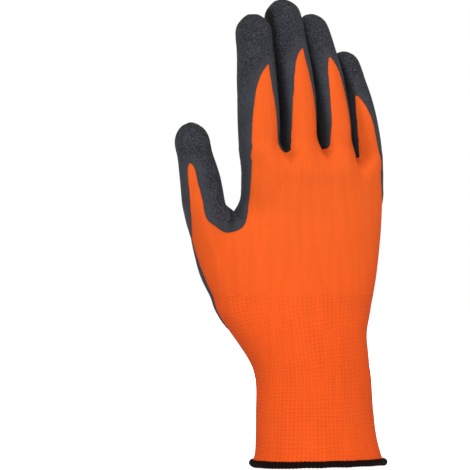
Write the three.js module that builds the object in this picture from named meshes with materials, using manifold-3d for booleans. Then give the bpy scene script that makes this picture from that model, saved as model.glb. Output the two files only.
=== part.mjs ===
// A right-hand knitted work glove with a dipped latex grip coat, in the form it has on a hand.
// Millimetres, +Z from the cuff to the finger tips, the back of the hand faces -Y, the palm +Y, and
// the thumb is on the -X side. The origin is the middle of the cuff opening.

import * as THREE from "three";
import { mergeVertices } from "three/addons/utils/BufferGeometryUtils.js";
import Module from "manifold-3d";

const wasm = await Module();
wasm.setup();

// Walls and clearances
const knitWall = 1.2;
const coatWall = 0.8;
const gap = 0.3;

// Cuff
const cuffLength = 92;
const wristHeight = 45;
const wristWidth = 64.5;
const wristShift = -2.2;
const wristDepth = 45;
const openingWidth = 69.5;
const openingDepth = 53;
const openingFlare = 2.6;
const hemRoll = 3.8;

// Hand
const palmLength = 78;
const palmWidth = 82.5;
const palmDepth = 29;
const palmShift = -3.6;
const heelWidth = 87.8;
const heelDepth = 41;
const heelShift = -12.1;
const thenarForward = 13;
const webHeight = cuffLength + palmLength;

// Fingers: the length runs from the web to the tip, as a share of the middle finger's. Width and
// cell are shares of the palm's width: the finger's own, and its place in the row. The drop of its
// root, its lean sideways and its curl towards the palm are in mm.
const middleLength = 79;
const fingers = [
  { name: "index", long: 0.901, wide: 0.228, cell: 0.262, drop: 2.0, lean: -1.4, curl: 6 },
  { name: "middle", long: 1, wide: 0.228, cell: 0.262, drop: 0.5, lean: -2.5, curl: 14 },
  { name: "ring", long: 0.9405, wide: 0.2206, cell: 0.256, drop: 2.5, lean: -3.5, curl: 18 },
  { name: "pinky", long: 0.747, wide: 0.1915, cell: 0.22, drop: 6.5, lean: -4.4, curl: 15 },
].map((finger) => ({
  ...finger,
  length: middleLength * finger.long,
  width: palmWidth * finger.wide,
}));
const webDrop = [0, 0, 4.5];

// Thumb
const thumbLength = 49;
const thumbWidth = 19.6;
const thumbSpread = 21.4;
const thumbForward = 10;
const thumbLean = -6.5;
const thumbCurl = 8;
const thumbWeb = 41;
const thumbRoot = 12;
const thumbWebOpening = 1.1;

// Columns of the knit round one finger, as angles from the middle of its back
const columns = 14;
const columnAngle = (2 * Math.PI) / columns;
const firstAngle = -2.5 * columnAngle;
const edgeShare = Math.sin(-firstAngle);
const backColumns = 4;

const mix = (from, to, share) => from + (to - from) * share;

// The x of each knit column across the palm, as a share of its half width, from the thumb side
function columnShares() {
  const shares = [];
  let start = -1;
  fingers.forEach((finger, place) => {
    const half = finger.cell;
    const centre = start + half;
    for (let column = 0; column <= backColumns + 1; column += 1) {
      const side = Math.sin(firstAngle + column * columnAngle);
      const outer = (place === 0 && side < 0) || (place === fingers.length - 1 && side > 0);
      const share = centre + half * (outer ? side : side / edgeShare);
      const shared = column === 0 && place > 0;
      if (!shared) {
        shares.push(share);
      }
    }
    start += 2 * half;
  });
  return shares;
}

const backShares = columnShares();
const ringSize = 2 * backShares.length + 2;
const ulnarSide = backShares.length;
const radialSide = ringSize - 1;
const cellColumns = backColumns + 1;

// How deep the valley between two fingers is at a column: one at a web, none on a knuckle
function valleyShare(column) {
  const place = column % cellColumns;
  const atEnd = column === 0 || column === backShares.length - 1;
  const web = !atEnd && place === 0;
  const beside = (place === 1 && column > 1) || (place === backColumns && column < backShares.length - 2);
  return web ? 1 : beside ? 0.35 : 0;
}

// One closed ring of the hand: radial and ulnar are the x of its two sides
function handRing(section) {
  const { z, radial, ulnar, back, front, forward, square, valley } = section;
  const middle = (radial + ulnar) / 2;
  const half = (ulnar - radial) / 2;
  const place = (share) => ({
    x: middle + half * share,
    y: forward * ((1 - share) / 2) ** 2,
    swell: (1 - Math.abs(share) ** square) ** (1 / square),
  });
  const points = [];
  backShares.forEach((share, column) => {
    const at = place(share);
    const depth = back * at.swell * (1 - valley * valleyShare(column));
    points.push(new THREE.Vector3(at.x, at.y - depth, z));
  });
  points.push(new THREE.Vector3(ulnar, 0, z));
  for (let column = backShares.length - 1; column >= 0; column -= 1) {
    const at = place(backShares[column]);
    const depth = front * at.swell * (1 - valley * valleyShare(column));
    points.push(new THREE.Vector3(at.x, at.y + depth, z));
  }
  points.push(new THREE.Vector3(radial, forward, z));
  return points;
}

// Sections of the palm: up is a share of the palm's length, radial and ulnar are shares of the way
// from the heel's sides to the palm's, depth is the same for the thickness. The thumb leaves the
// hand between the rows marked as its foot and its web.
const palmRows = [
  { up: 0.0, radial: 0.0, ulnar: 0.0, depth: 0.0, forward: 1.0, square: 2.3, valley: 0.0 },
  { up: 0.14, radial: -0.45, ulnar: 0.38, depth: 0.12, forward: 1.2, square: 2.3, valley: 0.0,
    thumb: "foot" },
  { up: 0.27, radial: -0.55, ulnar: 0.67, depth: 0.3, forward: 1.2, square: 2.3, valley: 0.0 },
  { up: 0.39, radial: 0.0, ulnar: 0.78, depth: 0.5, forward: 0.85, square: 2.35, valley: 0.0 },
  { up: 0.5, radial: 0.6, ulnar: 0.86, depth: 0.7, forward: 0.66, square: 2.4, valley: 0.0,
    thumb: "web" },
  { up: 0.56, radial: 0.98, ulnar: 0.95, depth: 0.76, forward: 0.58, square: 2.4, valley: 0.0 },
  { up: 0.65, radial: 1.08, ulnar: 1.12, depth: 0.88, forward: 0.34, square: 2.45, valley: 0.0 },
  { up: 0.77, radial: 1.16, ulnar: 1.06, depth: 1.0, forward: 0.1, square: 2.5, valley: 0.04 },
  { up: 0.86, radial: 1.08, ulnar: 1.02, depth: 1.0, forward: 0.0, square: 2.5, valley: 0.2 },
];

// Sections of the cuff between the wrist and the heel of the hand: waist is how far the outer side
// draws in, as a share of the wrist's width
const cuffRows = [
  { up: 0.0, radial: 0.0, waist: 0.0, depth: 0.0 },
  { up: 0.2, radial: 0.06, waist: 0.03, depth: 0.0 },
  { up: 0.38, radial: 0.24, waist: 0.047, depth: 0.02 },
  { up: 0.56, radial: 0.49, waist: 0.059, depth: 0.1 },
  { up: 0.78, radial: 0.78, waist: 0.026, depth: 0.5 },
];

const heelRadial = heelShift - heelWidth / 2;
const heelUlnar = heelShift + heelWidth / 2;
const palmRadial = palmShift - palmWidth / 2;
const palmUlnar = palmShift + palmWidth / 2;

function palmSection(row) {
  const depth = mix(heelDepth, palmDepth, row.depth) / 2;
  return {
    z: cuffLength + palmLength * row.up,
    radial: mix(heelRadial, palmRadial, row.radial),
    ulnar: mix(heelUlnar, palmUlnar, row.ulnar),
    back: depth,
    front: depth,
    forward: thenarForward * row.forward,
    square: row.square,
    valley: row.valley,
  };
}

// The cuff narrows from the opening to the wrist and widens again into the heel of the hand
function cuffSection(row) {
  const wristSide = wristWidth / 2;
  const depth = mix(wristDepth, heelDepth, row.depth) / 2;
  return {
    z: mix(wristHeight, cuffLength, row.up),
    radial: mix(wristShift - wristSide, heelRadial, row.radial),
    ulnar: mix(wristShift + wristSide, heelUlnar, row.up) - wristWidth * row.waist,
    back: depth,
    front: depth,
    forward: thenarForward * row.radial,
    square: 2.15,
    valley: 0,
  };
}

function openingSection(up, z, flare) {
  const side = mix(openingWidth, wristWidth, up) / 2 + flare;
  const depth = mix(openingDepth, wristDepth, up) / 2 + flare;
  const shift = wristShift * up;
  const flat = { forward: 0, square: 2.1, valley: 0 };
  return { z, radial: shift - side, ulnar: shift + side, back: depth, front: depth, ...flat };
}

const slotFloor = hemRoll * 0.32;
const cuffStart = slotFloor + gap;

function cuffSections() {
  const sections = [
    openingSection(0, cuffStart, openingFlare),
    openingSection(0, hemRoll + gap, openingFlare),
    openingSection(0.1, hemRoll * 2, openingFlare * 0.15),
  ];
  sections.push(openingSection(0.75, wristHeight * 0.55, 0));
  cuffRows.forEach((row) => sections.push(cuffSection(row)));
  return sections;
}

const leastLean = 0.4;

// A surface under construction: points and outward-facing quads
class Surface {
  constructor() {
    this.points = [];
    this.quads = [];
  }

  addPoints(points) {
    const first = this.points.length;
    points.forEach((point) => this.points.push(point));
    return points.map((point, place) => first + place);
  }

  // Quads between two rings of indexes, the second above the first
  addBand(lower, upper, skip = () => false) {
    lower.forEach((corner, place) => {
      const next = (place + 1) % lower.length;
      if (!skip(place)) {
        this.quads.push([corner, lower[next], upper[next], upper[place]]);
      }
    });
  }

  // Closes a ring of fourteen with a grid five quads long and two wide
  addCap(ring, crown) {
    const half = ring.length / 2;
    const inner = [];
    for (let place = 1; place < half - 2; place += 1) {
      const near = this.points[ring[place]];
      const far = this.points[ring[ring.length - 2 - place]];
      inner.push(near.clone().add(far).multiplyScalar(0.5).add(crown));
    }
    const middle = [ring[ring.length - 1], ...this.addPoints(inner), ring[half - 1]];
    for (let place = 0; place < half - 2; place += 1) {
      const far = ring.length - 2 - place;
      this.quads.push([ring[place], ring[place + 1], middle[place + 1], middle[place]]);
      this.quads.push([middle[place], middle[place + 1], ring[far - 1], ring[far]]);
    }
  }

  // The way each point moves when the faces round it move out by one, longer in a sharp web
  normals() {
    const sums = this.points.map(() => new THREE.Vector3());
    const faces = this.quads.map(([a, b, c, d]) => {
      const across = new THREE.Vector3().subVectors(this.points[c], this.points[a]);
      const along = new THREE.Vector3().subVectors(this.points[d], this.points[b]);
      return across.cross(along).normalize();
    });
    this.quads.forEach((quad, place) => quad.forEach((corner) => sums[corner].add(faces[place])));
    const leans = sums.map(() => ({ total: 0, count: 0 }));
    sums.forEach((sum) => sum.normalize());
    this.quads.forEach((quad, place) => quad.forEach((corner) => {
      leans[corner].total += sums[corner].dot(faces[place]);
      leans[corner].count += 1;
    }));
    return sums.map((sum, corner) => {
      const lean = leans[corner].total / leans[corner].count;
      return sum.divideScalar(Math.max(lean, leastLean));
    });
  }
}

// Rings of one finger or of the thumb: radius along it, with a round tip
function tubeStations(length, width, bodyShares, bodyWidths) {
  const dome = width * 0.5;
  const straight = 1 - dome / length;
  const stations = bodyShares.map((share, place) => ({
    along: share * straight,
    swell: bodyWidths[place],
  }));
  const domeAngles = [0, 0.19, 0.37];
  const tipWidth = bodyWidths[bodyWidths.length - 1];
  domeAngles.forEach((turn) => {
    const angle = turn * Math.PI;
    stations.push({
      along: 1 - (dome / length) * (1 - Math.sin(angle)),
      swell: tipWidth * Math.cos(angle),
    });
  });
  return stations;
}

const fingerBody = [0.08, 0.28, 0.53, 0.8];
const fingerSwell = [0.98, 1.0, 0.99, 0.95];

// The middle line of a finger
function fingerAxis(finger, centre, base, along) {
  return new THREE.Vector3(
    centre + finger.lean * along,
    finger.curl * along ** 2.3,
    base + finger.length * along,
  );
}

// The ring round a middle line at one place, square to it
function tubeRing(axis, along, halfWidth, halfDepth, angles) {
  const step = 0.01;
  const here = axis(along);
  const before = axis(along - step);
  const ahead = axis(along + step);
  const up = ahead.sub(before).normalize();
  const side = new THREE.Vector3(1, 0, 0);
  side.addScaledVector(up, -side.dot(up)).normalize();
  const back = side.clone().cross(up);
  return angles.map((angle) => here.clone()
    .addScaledVector(side, halfWidth * Math.sin(angle))
    .addScaledVector(back, halfDepth * Math.cos(angle)));
}

const fingerAngles = Array.from({ length: columns }, (_, column) => firstAngle + column * columnAngle);

// Where each finger's middle line starts across the palm
function fingerCentres() {
  let start = palmRadial;
  return fingers.map((finger) => {
    const cell = finger.cell * palmWidth;
    const centre = start + cell / 2;
    start += cell;
    return { centre, cell };
  });
}

const centres = fingerCentres();

// Half the hand's thickness at a finger's root, as a share of the finger's width
const rootDepth = 0.6;

// The top ring of the palm, where the fingers branch: knuckle columns follow each finger's round,
// and the columns between two fingers sit in the web
function webRing() {
  const points = [];
  const frontPoints = [];
  fingers.forEach((finger, place) => {
    const { centre, cell } = centres[place];
    const base = webHeight - finger.drop;
    const depth = finger.width * rootDepth;
    for (let column = 0; column <= backColumns + 1; column += 1) {
      const angle = firstAngle + column * columnAngle;
      const side = Math.sin(angle);
      const outer = (place === 0 && side < 0) || (place === fingers.length - 1 && side > 0);
      const inWeb = !outer && (column === 0 || column === backColumns + 1);
      const x = centre + (cell / 2) * (outer ? side : side / edgeShare);
      const web = webHeight - (webDrop[column === 0 ? place - 1 : place] ?? 0);
      const z = inWeb ? web - 3 : base;
      const y = inWeb ? depth * 0.5 : depth * Math.cos(angle * 0.92);
      if (!(column === 0 && place > 0)) {
        points.push(new THREE.Vector3(x, -y, z));
        frontPoints.unshift(new THREE.Vector3(x, y, z));
      }
    }
  });
  const outerBase = (finger) => webHeight - finger.drop;
  const pinky = fingers[fingers.length - 1];
  points.push(new THREE.Vector3(palmUlnar, 0, outerBase(pinky)));
  points.push(...frontPoints);
  points.push(new THREE.Vector3(palmRadial, 0, outerBase(fingers[0])));
  return points;
}

// The fourteen corners of one finger's root in the top ring of the palm
function rootCorners(ring, webs, place) {
  const first = place * cellColumns;
  const last = first + cellColumns;
  const mirror = (column) => ringSize - 2 - column;
  const corners = [];
  for (let column = first; column <= last; column += 1) {
    corners.push(ring[column]);
  }
  corners.push(place === fingers.length - 1 ? ring[ulnarSide] : webs[place]);
  for (let column = last; column >= first; column -= 1) {
    corners.push(ring[mirror(column)]);
  }
  corners.push(place === 0 ? ring[radialSide] : webs[place - 1]);
  return corners;
}

function addFinger(surface, root, place) {
  const finger = fingers[place];
  const axis = (along) => fingerAxis(finger, centres[place].centre, webHeight - finger.drop, along);
  const stations = tubeStations(finger.length, finger.width, fingerBody, fingerSwell);
  let lower = root;
  stations.forEach((station) => {
    const half = (finger.width / 2) * station.swell;
    const upper = surface.addPoints(tubeRing(axis, station.along, half, half, fingerAngles));
    surface.addBand(lower, upper);
    lower = upper;
  });
  const crown = axis(1).sub(axis(0.98)).normalize().multiplyScalar(finger.width * 0.02);
  surface.addCap(lower, crown);
}

// The hole that the thumb leaves the hand through is four columns wide and three rows tall
const thumbFootRow = palmRows.findIndex((row) => row.thumb === "foot");
const thumbWebRow = palmRows.findIndex((row) => row.thumb === "web");
const thumbHoleColumns = [ringSize - 3, ringSize - 2, ringSize - 1, 0];
const thumbEdge = [1, 0, ringSize - 1, ringSize - 2, ringSize - 3];

function thumbHole(rows) {
  const top = rows[thumbWebRow];
  const bottom = rows[thumbFootRow];
  const [backEdge, , , , palmEdge] = thumbEdge;
  const hole = thumbEdge.map((column) => top[column]);
  for (let row = thumbWebRow - 1; row > thumbFootRow; row -= 1) {
    hole.push(rows[row][palmEdge]);
  }
  [...thumbEdge].reverse().forEach((column) => hole.push(bottom[column]));
  for (let row = thumbFootRow + 1; row < thumbWebRow; row += 1) {
    hole.push(rows[row][backEdge]);
  }
  return hole;
}

const thumbBody = [0.16, 0.34, 0.58, 0.82];
const thumbSwell = [1.06, 1.05, 1.0, 0.91];
const thumbStart = new THREE.Vector3(
  palmRadial - thumbSpread + thumbRoot / 2,
  thumbForward,
  cuffLength + thumbWeb,
);

const thumbAxis = (along) => new THREE.Vector3(
  thumbStart.x + thumbLean * along,
  thumbStart.y + thumbCurl * along ** 2,
  thumbStart.z + thumbLength * along,
);

// The thumb's columns start at the web's back corner, so its angles are counted from there
const thumbAngles = Array.from({ length: columns }, (_, column) => {
  const inner = Math.PI / 2;
  return inner + (column - 2) * columnAngle;
});

function addThumb(surface, hole) {
  const stations = tubeStations(thumbLength, thumbWidth, thumbBody, thumbSwell);
  const first = tubeRing(thumbAxis, stations[0].along, (thumbWidth / 2) * stations[0].swell,
    (thumbWidth / 2) * stations[0].swell, thumbAngles);
  const blends = [0.36, 0.7];
  let lower = hole;
  blends.forEach((share) => {
    const points = hole.map((corner, place) => {
      const point = surface.points[corner].clone().lerp(first[place], share);
      const atWeb = place < thumbEdge.length;
      point.x -= atWeb ? thumbWebOpening * Math.sin(Math.PI * share) : 0;
      return point;
    });
    const upper = surface.addPoints(points);
    surface.addBand(lower, upper);
    lower = upper;
  });
  stations.forEach((station) => {
    const half = (thumbWidth / 2) * station.swell;
    const upper = surface.addPoints(tubeRing(thumbAxis, station.along, half, half, thumbAngles));
    surface.addBand(lower, upper);
    lower = upper;
  });
  surface.addCap(lower, new THREE.Vector3(0, 0, thumbWidth * 0.02));
}

// The outer face of the knit from one section of the cuff or palm up to the finger tips
function handSurface(lowSections) {
  const surface = new Surface();
  const sections = [...lowSections, ...palmRows.map(palmSection)];
  const rows = sections.map((section) => surface.addPoints(handRing(section)));
  const palmStart = lowSections.length;
  const inHole = (row, column) => row >= palmStart + thumbFootRow && row < palmStart + thumbWebRow
    && thumbHoleColumns.includes(column);
  for (let row = 0; row + 1 < rows.length; row += 1) {
    surface.addBand(rows[row], rows[row + 1], (column) => inHole(row, column));
  }
  const top = surface.addPoints(webRing());
  surface.addBand(rows[rows.length - 1], top);
  const webs = surface.addPoints(webDrop.map((drop, place) => {
    const x = centres[place].centre + centres[place].cell / 2;
    return new THREE.Vector3(x, 0, webHeight - drop);
  }));
  fingers.forEach((finger, place) => addFinger(surface, rootCorners(top, webs, place), place));
  addThumb(surface, thumbHole(rows.slice(palmStart)));
  surface.rims = [{ ring: rows[0], facing: -1 }];
  return surface;
}

function cuffSurface() {
  const surface = new Surface();
  const heel = palmSection(palmRows[0]);
  const sections = [...cuffSections(), { ...heel, z: heel.z - gap }];
  const rows = sections.map((section) => surface.addPoints(handRing(section)));
  for (let row = 0; row + 1 < rows.length; row += 1) {
    surface.addBand(rows[row], rows[row + 1]);
  }
  surface.rims = [{ ring: rows[0], facing: -1 }, { ring: rows[rows.length - 1], facing: 1 }];
  return surface;
}

// The room inside a surface, moved outwards by an offset and closed at its open ends, which are
// pushed out by overrun
function filledGeometry(surface, offset, overrun) {
  const normals = surface.normals();
  const positions = [];
  surface.points.forEach((point, place) => {
    const moved = point.clone().addScaledVector(normals[place], offset);
    positions.push(moved.x, moved.y, moved.z);
  });
  const index = [];
  surface.quads.forEach(([a, b, c, d]) => index.push(a, b, c, a, c, d));
  surface.rims.forEach(({ ring, facing }) => {
    const centre = new THREE.Vector3();
    ring.forEach((corner) => {
      centre.add(surface.points[corner]);
      positions[corner * 3 + 2] = surface.points[corner].z + facing * overrun;
    });
    centre.multiplyScalar(1 / ring.length);
    const hub = positions.length / 3;
    positions.push(centre.x, centre.y, centre.z + facing * overrun);
    ring.forEach((corner, place) => {
      const next = ring[(place + 1) % ring.length];
      index.push(hub, facing > 0 ? corner : next, facing > 0 ? next : corner);
    });
  });
  const geometry = new THREE.BufferGeometry();
  geometry.setAttribute("position", new THREE.Float32BufferAttribute(positions, 3));
  geometry.setIndex(index);
  return geometry;
}

function toSolid(geometry) {
  const bare = geometry.clone();
  bare.deleteAttribute("normal");
  bare.deleteAttribute("uv");
  const merged = mergeVertices(bare, 1e-4);
  return new wasm.Manifold(new wasm.Mesh({
    numProp: 3,
    vertProperties: new Float32Array(merged.attributes.position.array),
    triVerts: new Uint32Array(merged.index.array),
  }));
}

function toGeometry(solid) {
  const mesh = solid.getMesh();
  const geometry = new THREE.BufferGeometry();
  geometry.setAttribute("position", new THREE.BufferAttribute(mesh.vertProperties, 3));
  geometry.setIndex(new THREE.BufferAttribute(mesh.triVerts, 1));
  return geometry;
}

// The wall between two offsets of a surface, open at the surface's ends
function wallSolid(surface, outside, inside) {
  const outer = toSolid(filledGeometry(surface, outside, 0));
  return outer.subtract(toSolid(filledGeometry(surface, inside, knitWall)));
}

const knitHand = toGeometry(wallSolid(handSurface([]), 0, -knitWall));
const knitCuff = toGeometry(wallSolid(cuffSurface(), 0, -knitWall));

// The overlocked roll: a round section with a slot that holds the lower edge of the cuff
function hemGeometry() {
  const path = handRing(openingSection(0, cuffStart, openingFlare));
  const slot = knitWall / 2 + gap;
  const radius = hemRoll / 2;
  const profile = [{ out: slot, up: hemRoll * 0.97 }];
  const turns = [0.16, -0.12, -0.38, -0.62, -0.88, -1.16];
  turns.forEach((turn) => {
    const angle = turn * Math.PI;
    profile.push({ out: radius * Math.cos(angle), up: radius + radius * Math.sin(angle) });
  });
  profile.push({ out: -slot, up: hemRoll * 0.97 });
  profile.push({ out: -slot, up: slotFloor });
  profile.push({ out: slot, up: slotFloor });
  const positions = [];
  path.forEach((point, place) => {
    const before = path[(place + path.length - 1) % path.length];
    const ahead = path[(place + 1) % path.length];
    const out = new THREE.Vector3(ahead.y - before.y, before.x - ahead.x, 0).normalize();
    profile.forEach((corner) => {
      const middle = corner.out - knitWall / 2;
      positions.push(point.x + out.x * middle, point.y + out.y * middle, corner.up);
    });
  });
  const index = [];
  const count = profile.length;
  path.forEach((point, place) => {
    const here = place * count;
    const next = ((place + 1) % path.length) * count;
    profile.forEach((corner, step) => {
      const after = (step + 1) % count;
      index.push(here + step, here + after, next + after, here + step, next + after, next + step);
    });
  });
  const geometry = new THREE.BufferGeometry();
  geometry.setAttribute("position", new THREE.Float32BufferAttribute(positions, 3));
  geometry.setIndex(index);
  return geometry;
}

// The coat is a skin over the whole hand with the bare parts cut out of it. Each cut is an outline
// drawn in an upright plane and pushed straight through one side of the skin.
const reach = 120;
const up = new THREE.Vector3(0, 0, 1);

function cutter(outline, across, from, to) {
  const shape = new THREE.Shape(outline.map((point) => new THREE.Vector2(point.u, point.z)));
  const geometry = new THREE.ExtrudeGeometry(shape, { depth: to - from, bevelEnabled: false });
  geometry.translate(0, 0, from);
  const outward = across.clone().cross(up);
  geometry.applyMatrix4(new THREE.Matrix4().makeBasis(across, up, outward));
  return toSolid(geometry);
}

const smoothCurve = (points, steps) => new THREE.SplineCurve(
  points.map((point) => new THREE.Vector2(point.u, point.z)),
).getPoints(steps).map((point) => ({ u: point.x, z: point.y }));

// The tongue of bare knit up the back of a finger: half is a share of the finger's half width
const tongueRows = [
  { along: 0.0, half: 0.84 },
  { along: 0.22, half: 0.76 },
  { along: 0.45, half: 0.64 },
  { along: 0.65, half: 0.48 },
  { along: 0.82, half: 0.3 },
  { along: 0.94, half: 0.14 },
];
const tongues = [
  { length: 0.67, rootShift: 0.0, tipShift: 0.34 },
  { length: 0.695, rootShift: 0.0, tipShift: 0.2 },
  { length: 0.7, rootShift: 0.0, tipShift: 0.16 },
  { length: 0.61, rootShift: -0.3, tipShift: -0.32 },
];
const tongueRoot = 6;
const acrossPalm = new THREE.Vector3(1, 0, 0);

function fingerTongue(place) {
  const finger = fingers[place];
  const tongue = tongues[place];
  const half = finger.width / 2 + gap + coatWall;
  const base = webHeight - finger.drop;
  const edge = (row, side) => {
    const along = row.along * tongue.length;
    const middle = centres[place].centre + finger.lean * along;
    const shift = mix(tongue.rootShift, tongue.tipShift, row.along);
    return { u: middle + half * (shift + side * row.half), z: base + finger.length * along };
  };
  const tip = edge({ along: 1, half: 0 }, 0);
  const edges = smoothCurve([
    ...tongueRows.map((row) => edge(row, -1)),
    tip,
    ...[...tongueRows].reverse().map((row) => edge(row, 1)),
  ], 26);
  const first = edges[0];
  const last = edges[edges.length - 1];
  const outline = [{ u: first.u, z: base - tongueRoot }, ...edges, { u: last.u, z: base - tongueRoot }];
  return cutter(outline.reverse(), acrossPalm, -coatWall, reach);
}

// The back of the hand between the webs and the cuff
const webBare = 2.5;
const coatFoot = mix(wristHeight, cuffLength, cuffRows[2].up) - 2 * gap;

function backOfHand() {
  const webs = webDrop.map((drop, place) => ({
    u: centres[place].centre + centres[place].cell / 2,
    z: webHeight - drop - webBare,
  }));
  const pinky = fingers[fingers.length - 1];
  const radialEdge = palmRadial + palmWidth * 0.09;
  const ulnarEdge = palmUlnar - palmWidth * 0.07;
  const outline = [
    { u: radialEdge, z: coatFoot - reach / 2 },
    { u: ulnarEdge, z: coatFoot - reach / 2 },
    { u: ulnarEdge, z: webHeight - pinky.drop - webBare / 2 },
    ...[...webs].reverse(),
    { u: radialEdge, z: webHeight - fingers[0].drop },
  ];
  return cutter(outline, acrossPalm, 0, reach);
}

// The thumb's bare tongue and the scoop round the thumb's web, drawn as seen square to the back of
// the thumb: along is a share of the thumb's length, left and right are shares of its width
const thumbFacing = (-28 * Math.PI) / 180;
const acrossThumb = new THREE.Vector3(Math.cos(thumbFacing), Math.sin(thumbFacing), 0);
const thumbDeep = 15;
const thumbTongue = [
  { along: -0.46, left: -0.4 },
  { along: -0.26, left: -0.42 },
  { along: 0.0, left: -0.415, right: 0.0 },
  { along: 0.18, left: -0.41, right: -0.06 },
  { along: 0.36, left: -0.4, right: -0.12 },
  { along: 0.52, left: -0.35, right: -0.17 },
];
const thumbTongueTip = { along: 0.6, side: -0.26 };

// The scoop round the web: side is a share of the palm's width from the palm's thumb side, along is
// a share of the thumb's length
const thumbScoop = [
  { along: -0.08, side: -0.195 },
  { along: -0.155, side: -0.13 },
  { along: -0.16, side: -0.085 },
  { along: -0.135, side: -0.035 },
  { along: -0.08, side: 0.003 },
  { along: 0.02, side: 0.022 },
  { along: 0.36, side: 0.04 },
  { along: 0.62, side: 0.045 },
];

function thumbSide() {
  const thumbEdgeAt = (along, share) => ({
    u: thumbAxis(along).dot(acrossThumb) + thumbWidth * share,
    z: thumbAxis(along).z,
  });
  const palmEdgeAt = (row) => ({
    u: palmRadial * Math.cos(thumbFacing) + palmWidth * row.side,
    z: thumbAxis(row.along).z,
  });
  const edge = smoothCurve([
    ...thumbTongue.map((row) => thumbEdgeAt(row.along, row.left)),
    thumbEdgeAt(thumbTongueTip.along, thumbTongueTip.side),
    ...[...thumbTongue].reverse().filter((row) => row.right !== undefined)
      .map((row) => thumbEdgeAt(row.along, row.right)),
    ...thumbScoop.map(palmEdgeAt),
  ], 44);
  const inner = palmRadial * Math.cos(thumbFacing) + palmWidth * 0.18;
  const first = edge[0];
  const last = edge[edge.length - 1];
  const outline = [
    { u: -reach, z: first.z - thumbWidth * 0.15 },
    ...edge,
    { u: last.u, z: webHeight - fingers[0].drop + coatWall },
    { u: inner, z: webHeight - fingers[0].drop + coatWall },
    { u: inner, z: coatFoot - reach / 2 },
    { u: -reach, z: coatFoot - reach / 2 },
  ];
  return cutter(outline.reverse(), acrossThumb, thumbDeep, reach);
}

// The lower edge of the coat on the palm: across is a share of the heel's width from the thumb side,
// up is a share of the cuff's length
const palmEdge = [
  { across: 0.0, up: 0.9 },
  { across: 0.117, up: 0.845 },
  { across: 0.2, up: 0.775 },
  { across: 0.32, up: 0.75 },
  { across: 0.54, up: 0.758 },
  { across: 0.7, up: 0.772 },
  { across: 0.79, up: 0.8 },
  { across: 0.866, up: 0.884 },
  { across: 0.934, up: 0.978 },
  { across: 0.989, up: 1.072 },
  { across: 1.031, up: 1.166 },
  { across: 1.061, up: 1.25 },
];

function heelOfPalm() {
  const edge = smoothCurve(palmEdge.map((row) => ({
    u: heelRadial + heelWidth * row.across,
    z: cuffLength * row.up,
  })), 30);
  const outline = [
    { u: -reach, z: coatFoot - reach / 2 },
    { u: reach, z: coatFoot - reach / 2 },
    { u: reach, z: edge[edge.length - 1].z },
    ...edge.reverse(),
    { u: -reach, z: edge[edge.length - 1].z },
  ];
  return cutter(outline, acrossPalm, -reach, -2 * coatWall);
}

// The coat's edge down the outer side of the hand: depth is a share of the palm's thickness from
// its middle, up is a share of the palm's length
const ulnarEdge = [
  { depth: 0.3, up: 0.08 },
  { depth: 0.24, up: 0.18 },
  { depth: 0.17, up: 0.31 },
  { depth: 0.1, up: 0.46 },
  { depth: -0.07, up: 0.64 },
  { depth: -0.21, up: 0.78 },
  { depth: -0.36, up: 0.9 },
];
const intoPalm = new THREE.Vector3(0, 1, 0);

function ulnarSideCut() {
  const edge = smoothCurve(ulnarEdge.map((row) => ({
    u: palmDepth * row.depth,
    z: cuffLength + palmLength * row.up,
  })), 14);
  const outline = [
    { u: -reach, z: coatFoot - reach / 2 },
    { u: edge[0].u, z: coatFoot - reach / 2 },
    ...edge,
    { u: -reach, z: edge[edge.length - 1].z },
  ];
  return cutter(outline, intoPalm, palmUlnar - palmWidth * 0.2, reach);
}

// The coat's edge round the root of the thumb, from the back to the palm
const thenarEdge = [
  { depth: 0.34, up: 0.88 },
  { depth: 0.1, up: 0.95 },
  { depth: -0.12, up: 1.06 },
  { depth: -0.3, up: 1.15 },
];
const alongThumbFacing = acrossThumb.clone().cross(up).negate();

function thenarSideCut() {
  const edge = smoothCurve(thenarEdge.map((row) => ({
    u: heelDepth * row.depth,
    z: cuffLength * row.up,
  })), 10);
  const outline = [
    { u: -reach, z: coatFoot - reach / 2 },
    { u: reach, z: coatFoot - reach / 2 },
    { u: reach, z: edge[0].z },
    ...edge,
    { u: -reach, z: edge[edge.length - 1].z },
  ];
  return cutter(outline, alongThumbFacing, -reach, heelRadial * Math.cos(thumbFacing));
}

// The last cut is the room inside the knit, which the coat would reach in the sharpest web
function coatSolid() {
  const lowRows = cuffRows.slice(2).map(cuffSection);
  const surface = handSurface(lowRows);
  let coat = wallSolid(surface, gap + coatWall, gap);
  const cuts = [
    backOfHand(),
    thumbSide(),
    heelOfPalm(),
    ulnarSideCut(),
    thenarSideCut(),
    ...fingers.map((finger, place) => fingerTongue(place)),
  ];
  cuts.push(toSolid(filledGeometry(surface, 0, knitWall)));
  cuts.forEach((cut) => {
    coat = coat.subtract(cut);
  });
  return coat;
}

const group = new THREE.Group();

function addPiece(name, geometry, color, roughness) {
  const material = new THREE.MeshStandardMaterial({ color, roughness, metalness: 0 });
  const mesh = new THREE.Mesh(geometry, material);
  mesh.name = name;
  group.add(mesh);
}

addPiece("knit_hand", knitHand, 0xf4652a, 0.85);
addPiece("knit_cuff", knitCuff, 0xf5581b, 0.85);
addPiece("latex_coat", toGeometry(coatSolid()), 0x3c3e44, 0.8);
addPiece("overlock_hem", hemGeometry(), 0x1a1412, 0.9);

export default group;
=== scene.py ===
"""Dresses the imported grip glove: knitted hand, elastic cuff, latex coat and overlocked hem."""

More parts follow.
